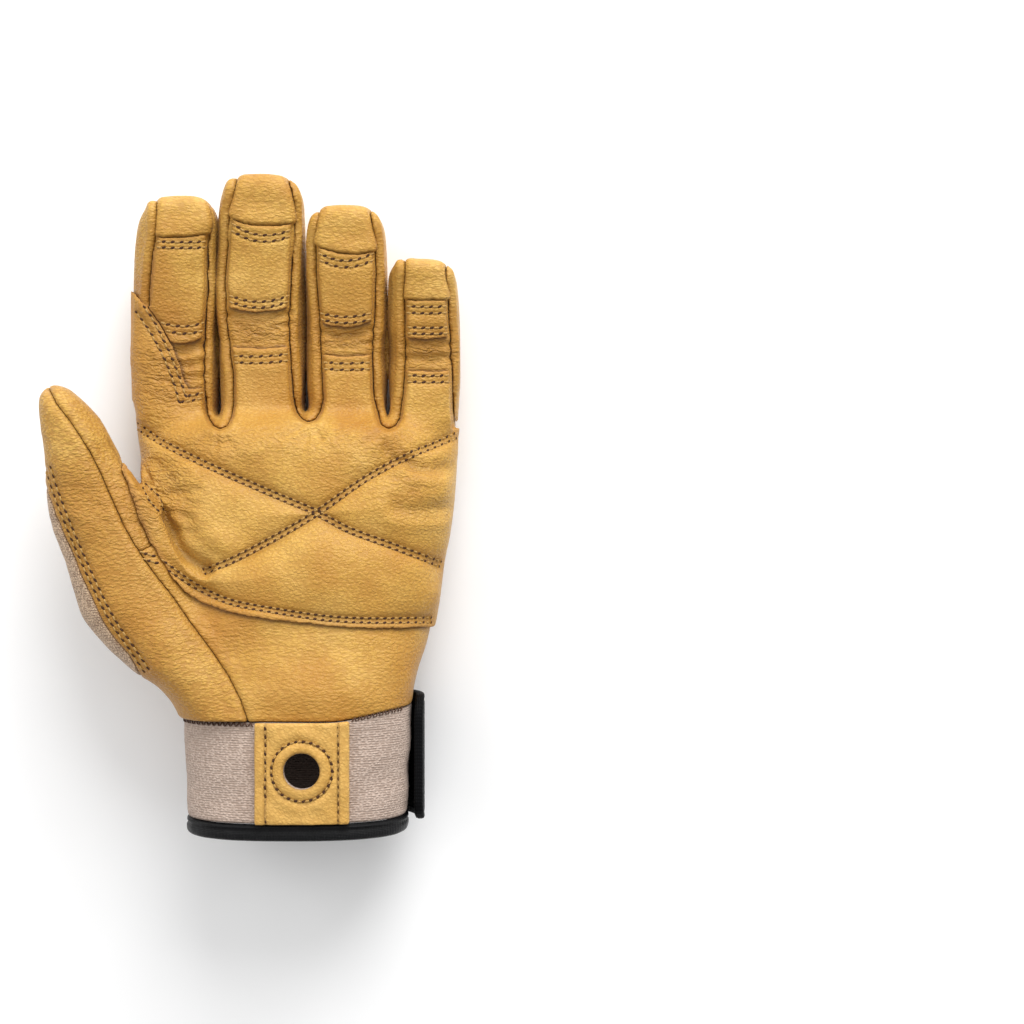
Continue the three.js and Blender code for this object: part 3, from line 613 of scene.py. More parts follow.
def relief():
    """The leather's own relief over the picture, in millimetres."""
    swirl_i, swirl_j = soft_noise(14) * 2.0, soft_noise(14) * 2.0
    height = 0.42 * soft_noise(34) + 0.2 * soft_noise(15)
    height = height + seam_relief(FINGER_SEAM, 0.45, 2.2, 1.7) + seam_relief(THUMB_SEAMS, 0.4, 2.6, 2.0)
    puff = QUILT_HEIGHT * (1 - np.exp(-(QUILT / QUILT_REACH) ** 1.3)) - QUILT_SINK
    height = height + ease(MAP_J, 405, 440) * ease(-MAPS["patch"], -2, 3) * puff
    for points, depth, width in CREASES:
        away = line_distance(rounded(points))
        ragged = away + 0.25 * swirl_i * bell(away, 6)
        height = height - depth * bell(ragged, width) + 0.4 * depth * bell(away - 2.1 * width, width)
    for points, rise, width in ROLLS:
        height = height + rise * bell(line_distance(rounded(points)), width)
    for (ci, cj), strength in FANS:
        di, dj = MAP_I - ci, MAP_J - cj
        away = np.hypot(di, dj) * MM_PER_PIXEL
        angle = np.arctan2(di + 0.7 * swirl_i, dj + 0.7 * swirl_j)
        folds = np.sin(angle * 9) + 0.6 * np.sin(angle * 17 + 1)
        reach = ease(away, 2.0, 5.0) * np.exp(-((away - 4) / 10) ** 2) * ease(np.cos(angle), 0.0, 0.6)
        height = height + strength * 0.55 * folds * reach
        height = height - strength * 1.6 * bell(away - 5.5, 3.2) * ease(np.cos(angle), 0.1, 0.8)
    by_edge = ease(MAP_J, 415, 440) * ease(MAP_I, 438, 455)
    return (height * (0.1 + 0.9 * ease(NOTCH_MAP, 0.5, 5.0)) * (1 - 0.75 * by_edge)).astype(np.float32)


RELIEF = relief()
# Where the leather is creased most: how much, then the place's column, row, reaches and turn.
CREASED_PLACES = [
    (1, 165, 375, 30, 40), (1, 260, 330, 38, 15), (1, 347, 340, 34, 12), (1, 428, 352, 26, 14),
    (1, 160, 492, 34, 44, 0.4), (0.45, 310, 438, 50, 16), (0.5, 400, 466, 44, 26),
    (0.4, 220, 446, 34, 16), (0.35, 428, 512, 26, 20), (0.35, 75, 500, 40, 80, 0.35),
    (0.25, 200, 640, 60, 50),
]
CREASED = np.clip(0.1 + sum(share * spot(*place) for share, *place in CREASED_PLACES), 0, 1)
# Three sets of fine creases: how deep, then their size, stretch, turn and sharpness.
CREASE_SETS = [
    (0.55, 6.5, (2.4, 0.8), 0.05, 0.16), (0.45, 5.0, (1.8, 0.8), -0.35, 0.16),
    (0.5, 4.0, (1.5, 0.9), 0.25, 0.18),
]
CREASE_LINES = CREASED * sum(depth * fine_creases(*kind) for depth, *kind in CREASE_SETS)
CREASE_LINES = CREASE_LINES.astype(np.float32)
WRINKLE = (CREASED * (0.26 * soft_noise(8.5, (2.6, 0.7)) + 0.12 * soft_noise(5, (2.4, 0.75), 0.1))
           - 0.3 * CREASE_LINES).astype(np.float32)


def ridge_above(outline_map, strength, width):
    """The swell of the leather just outside the edge of a sewn-on piece."""
    outside = np.clip(outline_map, 0, None)
    return strength * ease(outside, 0.1, 0.9) * bell(np.clip(outside - 1.0, 0, None), width)


# The swell above each fingertip's pad, from the picture's row of the pad's upper edge.
PAD_TOPS = {"index": 239, "middle": 226, "ring": 255, "little": 301}
TIP_SWELL = np.zeros(MAP_SHAPE, np.float32)
for finger, pad_top in PAD_TOPS.items():
    above = ease(pad_top - MAP_J, -6, 4)
    pad_map = MAPS[finger + "_pad"]
    TIP_SWELL += above * ridge_above(pad_map, 1.5, 5.0) * bell(np.clip(pad_map - 6, 0, None), 6)

ROW_DISTANCE = {piece: nearest_line(*(points for points, _ in rows)) for piece, rows in ROWS.items()}


def layer_map(piece):
    return MAPS["patch" if piece == "palm_patch" else piece]


def relief_for(piece):
    """The relief of one layer: its leather's own, and the pull of its stitches."""
    height = RELIEF + WRINKLE
    if piece.endswith("_pad") or piece == "palm_patch":
        height = height - 0.5 * bell(ROW_DISTANCE[piece], 0.9) - 0.9 * bell(FINGER_SEAM, 0.9)
        height = height - 0.25 * bell(layer_map(piece), 0.8)
    elif piece.startswith("fourchette") or piece.endswith("side_wall"):
        height = height + 0.7 * bell(FINGER_SEAM - 1.7, 1.25)
    elif piece == "thumb_outer_leather":
        height = height - 0.45 * bell(ROW_DISTANCE[piece], 0.9)
    else:
        height = height + TIP_SWELL
    return height.astype(np.float32)


def sample_volume(field, points):
    """Values of a field of the whole grid at points."""
    u = (points - np.array([GX[0], GY[0], GZ[0]])) / STEP
    u = np.clip(u, 0, np.array(field.shape) - 1.001)
    i = u.astype(int)
    f = u - i
    total = np.zeros(len(points))
    for corner in range(8):
        a, b, c = corner & 1, corner >> 1 & 1, corner >> 2 & 1
        weight = ((f[:, 0] if a else 1 - f[:, 0]) * (f[:, 1] if b else 1 - f[:, 1])
                  * (f[:, 2] if c else 1 - f[:, 2]))
        total += weight * field[i[:, 0] + a, i[:, 1] + b, i[:, 2] + c]
    return total


def outward(field, points):
    """The direction out of a field at points."""
    reach = 0.9
    normal = np.stack([sample_volume(field, points + move) - sample_volume(field, points - move)
                       for move in reach * np.eye(3)], 1)
    return normal / np.maximum(np.linalg.norm(normal, axis=1), 1e-6)[:, None]


def surface_of(field, cuts, coarse=1):
    """Points and quads of a field's zero surface, in millimetres."""
    part = field[::coarse, ::coarse, ::coarse]
    padded = np.pad(np.clip(part, -3, 3).astype(np.float32), 2, constant_values=3.0)
    grid = vdb.FloatGrid(3.0)
    grid.copyFromArray(np.ascontiguousarray(padded))
    points, quads = grid.convertToQuads(0.0)
    low = np.array([GX[cuts[0].start], GY[cuts[1].start], GZ[cuts[2].start]])
    return low + (points.astype(float) - 2) * STEP * coarse, quads.astype(np.int64)


def largest_parts(points, quads, smallest=150):
    """The mesh without its small loose islands."""
    label = np.arange(len(points))
    while True:
        low = label[quads].min(1)
        new = label.copy()
        np.minimum.at(new, quads.ravel(), np.repeat(low, 4))
        new = new[new]
        if np.array_equal(new, label):
            break
        label = new
    names, counts = np.unique(label, return_counts=True)
    keep = np.isin(label, names[counts >= smallest])
    index = np.cumsum(keep) - 1
    return points[keep], index[quads[keep[quads[:, 0]]]]


def merge_inside(points, quads, inner, cell=1.8):
    """Fewer, larger faces where the points are on the unseen side."""
    key = np.arange(len(points))
    cells = np.floor(points[inner] / cell).astype(np.int64)
    code = (cells[:, 0] + 500) * 4000000 + (cells[:, 1] + 500) * 2000 + cells[:, 2] + 500
    _, first, back = np.unique(code, return_index=True, return_inverse=True)
    sums = np.zeros((len(first), 3))
    np.add.at(sums, back, points[inner])
    sums /= np.bincount(back)[:, None]
    where = np.flatnonzero(inner)
    key[where] = where[first][back]
    points = points.copy()
    points[where[first]] = sums
    return points, key[quads]


def clean_quads(quads):
    """The quads with four corners of their own, and a triangle for each quad with only three."""
    same = quads == np.roll(quads, -1, axis=1)
    whole = quads[~same.any(1) & (quads[:, 0] != quads[:, 2]) & (quads[:, 1] != quads[:, 3])]
    three = same.sum(1) == 1
    keep = np.ones((three.sum(), 4), bool)
    keep[np.arange(len(keep)), np.argmax(same[three], axis=1)] = False
    return whole, quads[three][keep].reshape(-1, 3)


def add_object(name, data):
    made = bpy.data.objects.new(name, data)
    bpy.context.scene.collection.objects.link(made)
    return made


NO_TRIANGLES = np.zeros((0, 3), np.int64)


def mesh_object(name, points, quads, material, tone=None, triangles=NO_TRIANGLES):
    """An object from points in millimetres and its faces; repeated corners and unused points go."""
    quads, more = clean_quads(quads)
    triangles = np.concatenate([more, triangles])
    ordered = np.sort(triangles, axis=1)
    triangles = triangles[(ordered[:, 0] != ordered[:, 1]) & (ordered[:, 1] != ordered[:, 2])]
    used = np.zeros(len(points), bool)
    used[quads.ravel()] = True
    used[triangles.ravel()] = True
    index = np.cumsum(used) - 1
    totals = np.concatenate([np.full(len(quads), 4), np.full(len(triangles), 3)])
    corners = index[np.concatenate([quads.ravel(), triangles.ravel()])]
    mesh = bpy.data.meshes.new(name)
    mesh.vertices.add(int(used.sum()))
    mesh.vertices.foreach_set("co", ((points[used] + SHIFT) / PER_METRE).astype(np.float32).ravel())
    mesh.loops.add(len(corners))
    mesh.loops.foreach_set("vertex_index", corners.astype(np.int32))
    mesh.polygons.add(len(totals))
    mesh.polygons.foreach_set("loop_start", (np.cumsum(totals) - totals).astype(np.int32))
    mesh.polygons.foreach_set("use_smooth", np.ones(len(totals), bool))
    mesh.update(calc_edges=True)
    mesh.validate()
    if tone is not None:
        layer = mesh.color_attributes.new(name="tone", type="FLOAT_COLOR", domain="POINT")
        layer.data.foreach_set("color", tone[used].astype(np.float32).ravel())
    mesh.materials.append(material)
    return add_object(name, mesh)


def finish_piece(made, slot, *nodes):
    """Say what the piece rides on and the CAD nodes that it replaces. Its material slot is not used."""
    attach(made, "root")
    if nodes:
        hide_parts(*nodes)
    return made


# Materials. Every leather reads the mesh's tone colours: red for painted shade in seams, slits, creases,
# hollows and beside sewn-on layers, green for raw edges, blue for a warmer, darker colour that is mostly
# painted shade, alpha for where the leather bends. On cloth red is painted shade too, and alpha is the
# unseen inner side, painted darker as shade.
def connect(tree, made, inputs):
    """Link a node's inputs to sockets, or set them to values."""
    for key, value in inputs.items():
        if isinstance(value, bpy.types.NodeSocket):
            tree.links.new(value, made.inputs[key])
        else:
            made.inputs[key].default_value = value


def node(tree, kind, inputs=None, **settings):
    made = tree.nodes.new(kind)
    for name, value in settings.items():
        setattr(made, name, value)
    connect(tree, made, inputs or {})
    return made


def math_node(tree, operation, a, b=0.0, clamp=False):
    return node(tree, "ShaderNodeMath", {0: a, 1: b}, operation=operation, use_clamp=clamp).outputs[0]


def times(tree, a, b):
    return math_node(tree, "MULTIPLY", a, b)


def plus(tree, a, b, clamp=False):
    return math_node(tree, "ADD", a, b, clamp)


def inverse(tree, value):
    return math_node(tree, "SUBTRACT", 1.0, value)


def noise(tree, place, scale, detail=2.0):
    return node(tree, "ShaderNodeTexNoise", {"Vector": place, "Scale": scale, "Detail": detail}).outputs[0]


def stretched(tree, place, scale):
    return node(tree, "ShaderNodeMapping", {"Vector": place, "Scale": scale}).outputs[0]


def mix_color(tree, factor, a, b):
    return node(tree, "ShaderNodeMix", {0: factor, 6: a, 7: b}, data_type="RGBA").outputs[2]


def ramp(tree, factor, stops):
    made = node(tree, "ShaderNodeValToRGB", {0: factor})
    elements = made.color_ramp.elements
    while len(elements) < len(stops):
        elements.new(0.5)
    for element, (position, value) in zip(elements, stops):
        element.position = position
        element.color = value if isinstance(value, tuple) else (value, value, value, 1)
    return made.outputs[0]


def new_material(name):
    material = bpy.data.materials.new(name)
    material.use_nodes = True
    tree = material.node_tree
    tree.nodes.clear()
    output = node(tree, "ShaderNodeOutputMaterial")
    shader = node(tree, "ShaderNodeBsdfPrincipled")
    tree.links.new(shader.outputs[0], output.inputs[0])
    return material, tree, shader


def set_bump(tree, shader, height, strength, distance):
    made = node(tree, "ShaderNodeBump", {"Height": height, "Strength": strength, "Distance": distance})
    tree.links.new(made.outputs[0], shader.inputs["Normal"])


def color(red, green, blue):
    """A screen colour of 0 to 255 as the linear colour that a shader takes."""
    return tuple(((v / 255 + 0.055) / 1.055) ** 2.4 if v > 10 else v / 255 / 12.92
                 for v in (red, green, blue)) + (1,)


def darker(tint, share):
    return color(*[v * share for v in tint])


def millimetre_place(tree, turn=0.0, size=1.0):
    """Object coordinates in millimetres, turned about z."""
    place = node(tree, "ShaderNodeTexCoord").outputs["Object"]
    return node(tree, "ShaderNodeMapping", {
        "Vector": place, "Rotation": (0, 0, turn), "Scale": (PER_METRE * size,) * 3}).outputs[0]


def tone_parts(tree):
    """The mesh's tone colours: red, green, blue and alpha."""
    tone = node(tree, "ShaderNodeAttribute", attribute_name="tone")
    split = node(tree, "ShaderNodeSeparateColor", {0: tone.outputs["Color"]}).outputs
    return split[0], split[1], split[2], tone.outputs["Alpha"]


def winding_lines(tree, place, scale, stretch, distortion, width):
    """Thin winding lines of a stretched noise: 0 along each line, 1 between them."""
    values = node(tree, "ShaderNodeTexNoise", {
        "Vector": stretched(tree, place, stretch), "Scale": scale, "Detail": 1.0,
        "Distortion": distortion}).outputs[0]
    away = math_node(tree, "ABSOLUTE", math_node(tree, "SUBTRACT", values, 0.5))
    return ramp(tree, away, [(0.0, 0.0), (width * 0.5, 0.65), (width * 1.6, 1.0)])


def ripples(tree, place, period, stretch, waver):
    """Short level ripples: 0 in their valleys, 1 on their backs, about a period in millimetres apart."""
    wave = node(tree, "ShaderNodeTexWave", {
        "Vector": stretched(tree, place, stretch), "Scale": 0.314 / period, "Distortion": waver,
        "Detail": 1.0, "Detail Scale": 2.6, "Detail Roughness": 0.4}, bands_direction="Y").outputs["Fac"]
    return ramp(tree, wave, [(0.0, 0.0), (0.3, 0.6), (0.75, 1.0)])


def grain_cells(tree, place, cell, stretch):
    """The pebbles of grain leather: 1 on top of each, 0 between them; a cell in millimetres."""
    waver = node(tree, "ShaderNodeTexNoise", {"Vector": place, "Scale": 0.9, "Detail": 1.0})
    shift = node(tree, "ShaderNodeVectorMath", {0: waver.outputs["Color"], 1: (-0.5, -0.5, -0.5)},
                 operation="ADD")
    scaled = node(tree, "ShaderNodeVectorMath", {0: shift.outputs[0], 3: 1.1}, operation="SCALE")
    moved = node(tree, "ShaderNodeVectorMath", {0: place, 1: scaled.outputs[0]}, operation="ADD")
    cells = node(tree, "ShaderNodeTexVoronoi", {
        "Vector": stretched(tree, moved.outputs[0], stretch), "Scale": 1 / cell}, feature="F1").outputs[0]
    return ramp(tree, cells, [(0.12, 1.0), (0.42, 0.6), (0.66, 0.0)])


# The colours of leather: deep, middle and light, then between its pebbles, painted shade in its folds, a
# warmer, darker colour that is mostly painted shade, at its raw edges, and painted shade in its seams.
LEATHER_SHADES = ((186, 133, 51), (206, 161, 72), (223, 182, 96))
TAB_SHADES = ((204, 154, 70), (222, 176, 90), (234, 192, 108))
BETWEEN_TINT, FOLD_SHADE_TINT, WARM_AND_SHADE_TINT = color(154, 104, 46), color(116, 66, 22), color(170, 114, 37)
RAW_TINT, SEAM_SHADE_TINT = color(190, 138, 74), color(66, 34, 12)


def leather_material(name, turn=0.0, size=1.0, stretch=(0.42, 1.0, 0.8), strength=1.0,
                     shades=LEATHER_SHADES):
    """Grain leather: pebbled grain, a slow change of colour, wrinkles where it bends, and painted shade."""
    material, tree, shader = new_material(name)
    place = millimetre_place(tree, turn, size)
    seam_and_shade, raw, warmth_and_shade, bent = tone_parts(tree)
    cloud = noise(tree, place, 0.35, 4.0)
    pebbles = grain_cells(tree, place, 0.85, stretch)
    lines = winding_lines(tree, place, 1.3, (0.55, 1.1, 1.0), 0.3, 0.06)
    turned = node(tree, "ShaderNodeMapping", {"Vector": place, "Rotation": (0, 0, 0.3)}).outputs[0]
    fold = ripples(tree, place, 2.1, (0.6, 1.0, 1.0), 9.0)
    small_fold = ripples(tree, turned, 1.3, (0.7, 1.0, 1.0), 8.0)
    slow = plus(tree, times(tree, noise(tree, place, 0.05, 3.0), 0.85), times(tree, cloud, 0.15))
    tint = ramp(tree, slow, [(at, color(*shade)) for at, shade in zip((0.28, 0.48, 0.7), shades)])
    between = plus(tree, times(tree, inverse(tree, pebbles), 0.4 * strength),
                   times(tree, inverse(tree, lines), 0.1))
    fold_valley_shade = times(tree, bent, inverse(tree, times(tree, fold, small_fold)))
    tint = mix_color(tree, between, tint, BETWEEN_TINT)
    tint = mix_color(tree, times(tree, fold_valley_shade, 0.34), tint, FOLD_SHADE_TINT)
    tint = mix_color(tree, times(tree, warmth_and_shade, 0.55), tint, WARM_AND_SHADE_TINT)
    tint = mix_color(tree, times(tree, raw, 0.75), tint, RAW_TINT)
    rough = plus(tree, times(tree, cloud, 0.1), plus(tree, times(tree, raw, 0.4), 0.42), True)
    connect(tree, shader, {"Base Color": mix_color(tree, seam_and_shade, tint, SEAM_SHADE_TINT), "Roughness": rough,
                           "Specular IOR Level": 0.34, "Sheen Weight": 0.05, "Sheen Roughness": 0.4})
    height = plus(tree, times(tree, pebbles, 0.16 * strength), times(tree, lines, 0.03))
    height = plus(tree, height, times(tree, noise(tree, place, 3.0, 3.0), 0.06))
    bends = plus(tree, times(tree, fold, 0.3), times(tree, small_fold, 0.16))
    set_bump(tree, shader, plus(tree, height, times(tree, bent, bends)), 1.0, 0.001)
    return material


def plain_thread(name, base):
    """Thread: a twist of fine diagonal strands."""
    material, tree, shader = new_material(name)
    twist = node(tree, "ShaderNodeTexWave", {
        "Vector": millimetre_place(tree), "Scale": 2.6, "Distortion": 1.5, "Detail": 1.0},
        bands_direction="DIAGONAL").outputs["Fac"]
    tint = mix_color(tree, twist, darker(base, 0.72), color(*base))
    connect(tree, shader, {"Base Color": tint, "Roughness": 0.6})
    set_bump(tree, shader, twist, 0.5, 0.0002)
    return material


def speckled_material(name, scale, dark, light):
    """A dull material between two colours, such as the painted shade of a needle hole."""
    material, tree, shader = new_material(name)
    speckle = noise(tree, millimetre_place(tree), scale)
    connect(tree, shader, {"Base Color": ramp(tree, speckle, [(0.3, dark), (0.7, light)]),
                           "Roughness": 0.9})
    return material


def woven_material(name, dark, light, pitch, ribs=1.0, rough=0.8, depth=0.0003, sheen=0.15, gloss=0.4,
                   waver=0.9, knit=None):
    """A close weave in two tones, or a knit where the stretch of its loops is given."""
    material, tree, shader = new_material(name)
    place = millimetre_place(tree)

    def yarns(direction, scale, distortion):
        return node(tree, "ShaderNodeTexWave", {
            "Vector": place, "Scale": scale, "Distortion": distortion, "Detail": 2.0,
            "Detail Scale": 2.0}, bands_direction=direction).outputs["Fac"]

    fineness = 0.159 / pitch * 2
    cross = yarns("Y", fineness * ribs, waver)
    if knit:
        loops = node(tree, "ShaderNodeTexVoronoi", {
            "Vector": stretched(tree, place, knit), "Scale": 1 / pitch, "Randomness": 0.8},
            feature="F1").outputs[0]
        loops = ramp(tree, loops, [(0.15, 1.0), (0.6, 0.0)])
        knots = plus(tree, times(tree, loops, 0.8), times(tree, cross, 0.4))
    else:
        knots = times(tree, yarns("X", fineness, waver * 0.7), cross)
    shade, _, _, inner = tone_parts(tree)
    cloud = noise(tree, place, 0.25, 3.0)
    fleck = plus(tree, times(tree, knots, 0.75), times(tree, cloud, 0.35), True)
    tint = ramp(tree, fleck, [(0.15, color(*dark)), (0.75, color(*light))])
    # Painted shade from the red tone colour, and the unseen inner side painted darker as shade inside.
    tint = mix_color(tree, shade, tint, darker(dark, 0.35))
    tint = mix_color(tree, times(tree, inner, 0.9), tint, color(52, 36, 28))
    connect(tree, shader, {"Base Color": tint, "Roughness": rough, "Specular IOR Level": gloss,
                           "Sheen Weight": sheen})
    set_bump(tree, shader, knots, 0.8, depth)
    return material


GRAIN = leather_material("grain_leather_finish")
THUMB_GRAIN = leather_material("thumb_leather_finish", -0.12, strength=1.3)
PATCH_GRAIN = leather_material("patch_leather_finish", 0.1, stretch=(0.62, 1.0, 0.8), strength=0.9)
TAB_GRAIN = leather_material("tab_leather_finish", 0.5, 0.95, (0.7, 1.0, 0.8), 0.7, TAB_SHADES)
KNIT = woven_material("knit_finish", (116, 84, 62), (222, 192, 158), 0.85, 1.5, knit=(1.0, 1.5, 1.0))
ELASTIC = woven_material("elastic_finish", (158, 137, 123), (194, 174, 160), 0.8, 1.0, 0.75, 0.0003, 0.05,
                         0.25, 1.5, (0.65, 1.0, 0.8))
BINDING = woven_material("binding_finish", (5, 5, 6), (18, 19, 21), 0.5, 1.0, 0.42, 0.0002, 0.0, 0.2)
STRAP = woven_material("strap_finish", (5, 5, 6), (16, 17, 19), 0.7, 0.6, 0.6, 0.0002, 0.0, 0.08)
LINING = woven_material("lining_finish", (92, 66, 46), (138, 104, 74), 0.7, 1.0, 0.9)
THREAD = plain_thread("tan_thread_finish", (208, 162, 86))
DARK_THREAD = plain_thread("dark_thread_finish", (92, 58, 38))
# Dark lenses of painted shade for the needle holes.
NEEDLE_HOLE_SHADE = speckled_material("needle_hole_shade_finish", 2.0, color(46, 24, 8), color(82, 46, 16))
FLOOR = speckled_material("floor_finish", 0.02, (0.94, 0.94, 0.94, 1), (0.97, 0.97, 0.97, 1))


def plan_part(name, cuts):
    return PLAN[name][cuts[0], cuts[1]][:, :, None]


# How high the thumb's cloth reaches, by the distance down the thumb from its tip.
CLOTH_LEVEL = {
    "at": [0, 22, 30, 42, 60, 75, 88, 100, 109, 125],
    "height": [-8, -4, 24, 28, 26, 24.5, 23, 21, 20, 20],
}


def cloth_side(x, y, z, cuts):
    """Negative where the thumb is cloth: left of the sewn edge, or low on the thumb."""
    down, _ = thumb_place(x, y)
    level = smooth_table(CLOTH_LEVEL, "height", down)
    return np.minimum(plan_part("cloth", cuts), (z - level) * 0.9)


def panel_field(cuts, x, y, limits):
    """A leather or cloth panel of the hand: its thickness, cut where the limits are positive."""
    field = np.abs(HAND[cuts] + LEATHER / 2) - LEATHER / 2
    limit = limits[0]
    for other in limits[1:]:
        limit = np.maximum(limit, other)
    field = smooth_max(field, limit, EDGE_ROUNDING)
    return smooth_max(field, cuff_edge(x) - y, CUFF_EDGE_ROUNDING)


def tone_of(points, column, row, darkness):
    """Tone colours from the maps, for a leather's points."""
    tone = np.zeros((len(points), 4))
    # Red: the painted shade of the maps and the painted shade passed in, whichever is darker.
    seam = sample_map(SEAM_SHADE, column, row)
    tone[:, 0] = np.clip(np.maximum(seam, darkness), 0, 1)
    tone[:, 2] = sample_map(WARMTH_AND_SHADE, column, row)
    return tone


# Painted shade: in the finger and thumb seams, broken by stitch ticks, in the finger slits, creases and
# folds.
TICKS = 0.75 + 0.25 * np.sin(1.25 * (MAP_J + 0.5 * MAP_I))
FOLD_SHADE = sum(0.13 * depth * bell(line_distance(rounded(points)), 0.8 * width)
                 for points, depth, width in CREASES)
SEAM_SHADE = (0.46 * TICKS * bell(FINGER_SEAM, 0.28) + 0.5 * TICKS * bell(THUMB_SEAMS, 0.3)
              + 0.5 * bell(SLITS, 0.8) + 0.08 * CREASE_LINES + FOLD_SHADE).astype(np.float32)
# Painted contact shadow on the leather beside the edges of the sewn-on layers, away from the finger seams.
EDGE_SHADE = np.zeros(MAP_SHAPE, np.float32)
for name in LAYERS:
    beside_layer = bell(np.clip(MAPS[name] - 0.35, 0, None), 0.5) * ease(SEWN_SIDES, 0.8, 2.0)
    EDGE_SHADE = np.maximum(EDGE_SHADE, beside_layer)
# A warmer, darker colour, mostly painted shade: on the lower halves of the fingers so that the tips look
# lit, across their roots, by the thumb, and along the seams and the quilting; also towards the cuff, and a
# slow random change of tone.
FINGER_ROOTS = ease(MAP_J, 290, 330) * (1 - ease(MAP_J, 370, 430))
BY_THUMB = (1 - ease(MAP_I, 110, 200)) * ease(MAP_J, 440, 540)
WARMTH_AND_SHADE = np.clip(0.05 + 0.3 * ease(MAP_J, 235, 300) + 0.7 * FINGER_ROOTS + 0.9 * BY_THUMB
                 + 0.3 * soft_noise(30) + 0.5 * ease(MAP_J, 560, 720)
                 + 0.5 * bell(QUILT, 2.2) + 0.35 * bell(FINGER_SEAM, 1.6), 0, 1).astype(np.float32)


def dress_panel(node_name, cuts, field, material, slot, low_resolution=False, layer=0.0,
                thickness=LEATHER):
    """Mesh a panel, press its relief into the outside, and give it its tone colours."""
    points, quads = largest_parts(*surface_of(field, cuts, 2 if low_resolution else 1))
    depth = sample_volume(HAND, points) - layer
    if not low_resolution:
        points, quads = merge_inside(points, quads, depth < -thickness + 0.35)
        depth = sample_volume(HAND, points) - layer
    normal = outward(HAND, points)
    column, row = to_picture(*points.T)
    height = sample_map(relief_for(node_name), column, row)
    outside = ease(depth, -thickness, -0.35 * thickness)
    up = ease(normal[:, 2], 0.0, 0.5)
    pushed = up * (height * outside + np.minimum(height, 0) * (1 - outside))
    points = points + normal * pushed[:, None]
    points[:, 2] = np.maximum(points[:, 2], FLOOR_GAP)
    # Painted shade where the relief dips.
    tone = tone_of(points, column, row, ease(-height, 0.25, 1.3) * 0.16)
    # Painted contact shadow beside the sewn-on layers, on the leather under them.
    if layer == 0:
        tone[:, 0] = np.maximum(tone[:, 0], 0.6 * sample_map(EDGE_SHADE, column, row))
    tone[:, 0] *= up * outside
    # On the knit, the unseen inner side is painted darker as shade.
    tone[:, 3] = 1 - outside
    if material is not KNIT:
        tone[:, 3] = np.clip(sample_map(CREASED, column, row), 0, 1) * outside * (0.3 + 0.7 * up)
    if layer > 0:
        side = ease(depth, -0.85 * thickness, -0.55 * thickness) * (1 - ease(depth, -0.35, -0.05))
        edge = sample_map(layer_map(node_name), column, row)
        tone[:, 1] = np.maximum(side, 0.8 * bell(edge, 0.55))
    made = mesh_object(node_name + "_skin", points, quads, material, tone)
    return finish_piece(made, slot, node_name)


def shell_panel(node_name, box, limits, material, slot="grain_leather", **options):
    """One panel of the hand's shell: the shell within a box of the grid, less what the limits cut."""
    cuts, x, y, z = block(*box)
    field = panel_field(cuts, x, y, limits(cuts, x, y, z))
    return dress_panel(node_name, cuts, field, material, slot, **options)


def apart(cuts, *names):
    """Positive inside each of these regions and in the seams' gaps round them."""
    return [SEAM_GAP - plan_part(name, cuts) for name in names]


def front_limits(cuts, x, y, z):
    return apart(cuts, *FINGER_SEAMS, "thumb_outer", "thumb_inner") + [SPLIT_HEIGHT + SEAM_GAP - z]


WHOLE = (-93, 62, 36, 230, -1.2, 60)
THUMB_BOX = (-93, -10, 30, 156, -1.2, 60)
SLOT_BOX = (-45, 50, 130, 230, -1.2, 50)
FOURCHETTES = {
    "fourchette_index_middle": "slot_a", "fourchette_middle_ring": "slot_b",
    "fourchette_ring_little": "slot_c",
}
shell_panel("palm_leather", WHOLE, front_limits, GRAIN)
for node_name, slot_name in FOURCHETTES.items():
    shell_panel(node_name, SLOT_BOX,
                lambda cuts, x, y, z, name=slot_name: [plan_part(name, cuts)], GRAIN)
shell_panel("index_side_wall", (-75, -40, 120, 230, -1.2, 50),
            lambda cuts, x, y, z: [plan_part("index_side", cuts)]
            + apart(cuts, "thumb_outer", "thumb_inner"), GRAIN)
shell_panel("little_side_wall", (40, 62, 120, 215, -1.2, 50),
            lambda cuts, x, y, z: [plan_part("little_side", cuts)], GRAIN)
shell_panel("thumb_outer_leather", THUMB_BOX,
            lambda cuts, x, y, z: [plan_part("thumb_outer", cuts),
                                   SEAM_GAP - cloth_side(x, y, z, cuts)], THUMB_GRAIN)
shell_panel("thumb_inner_leather", THUMB_BOX,
            lambda cuts, x, y, z: [plan_part("thumb_inner", cuts), *apart(cuts, "thumb_outer"),
                                   SEAM_GAP - cloth_side(x, y, z, cuts)], THUMB_GRAIN)

# The back of the hand is cloth up to the knuckles, and laps a little under the thumb's leather.
KNUCKLES = 123.7


def back_limits(cuts, x, y, z):
    thumb = np.minimum(plan_part("thumb_outer", cuts), plan_part("thumb_inner", cuts))
    cloth = cloth_side(x, y, z, cuts)
    hand = np.maximum(z - SPLIT_HEIGHT, y - KNUCKLES)
    low = np.maximum(hand, SEAM_GAP - thumb)
    lap = np.maximum(np.maximum(hand, thumb - 1.0), cloth - 0.5)
    return [np.minimum(np.minimum(low, np.maximum(thumb, cloth)), lap)]


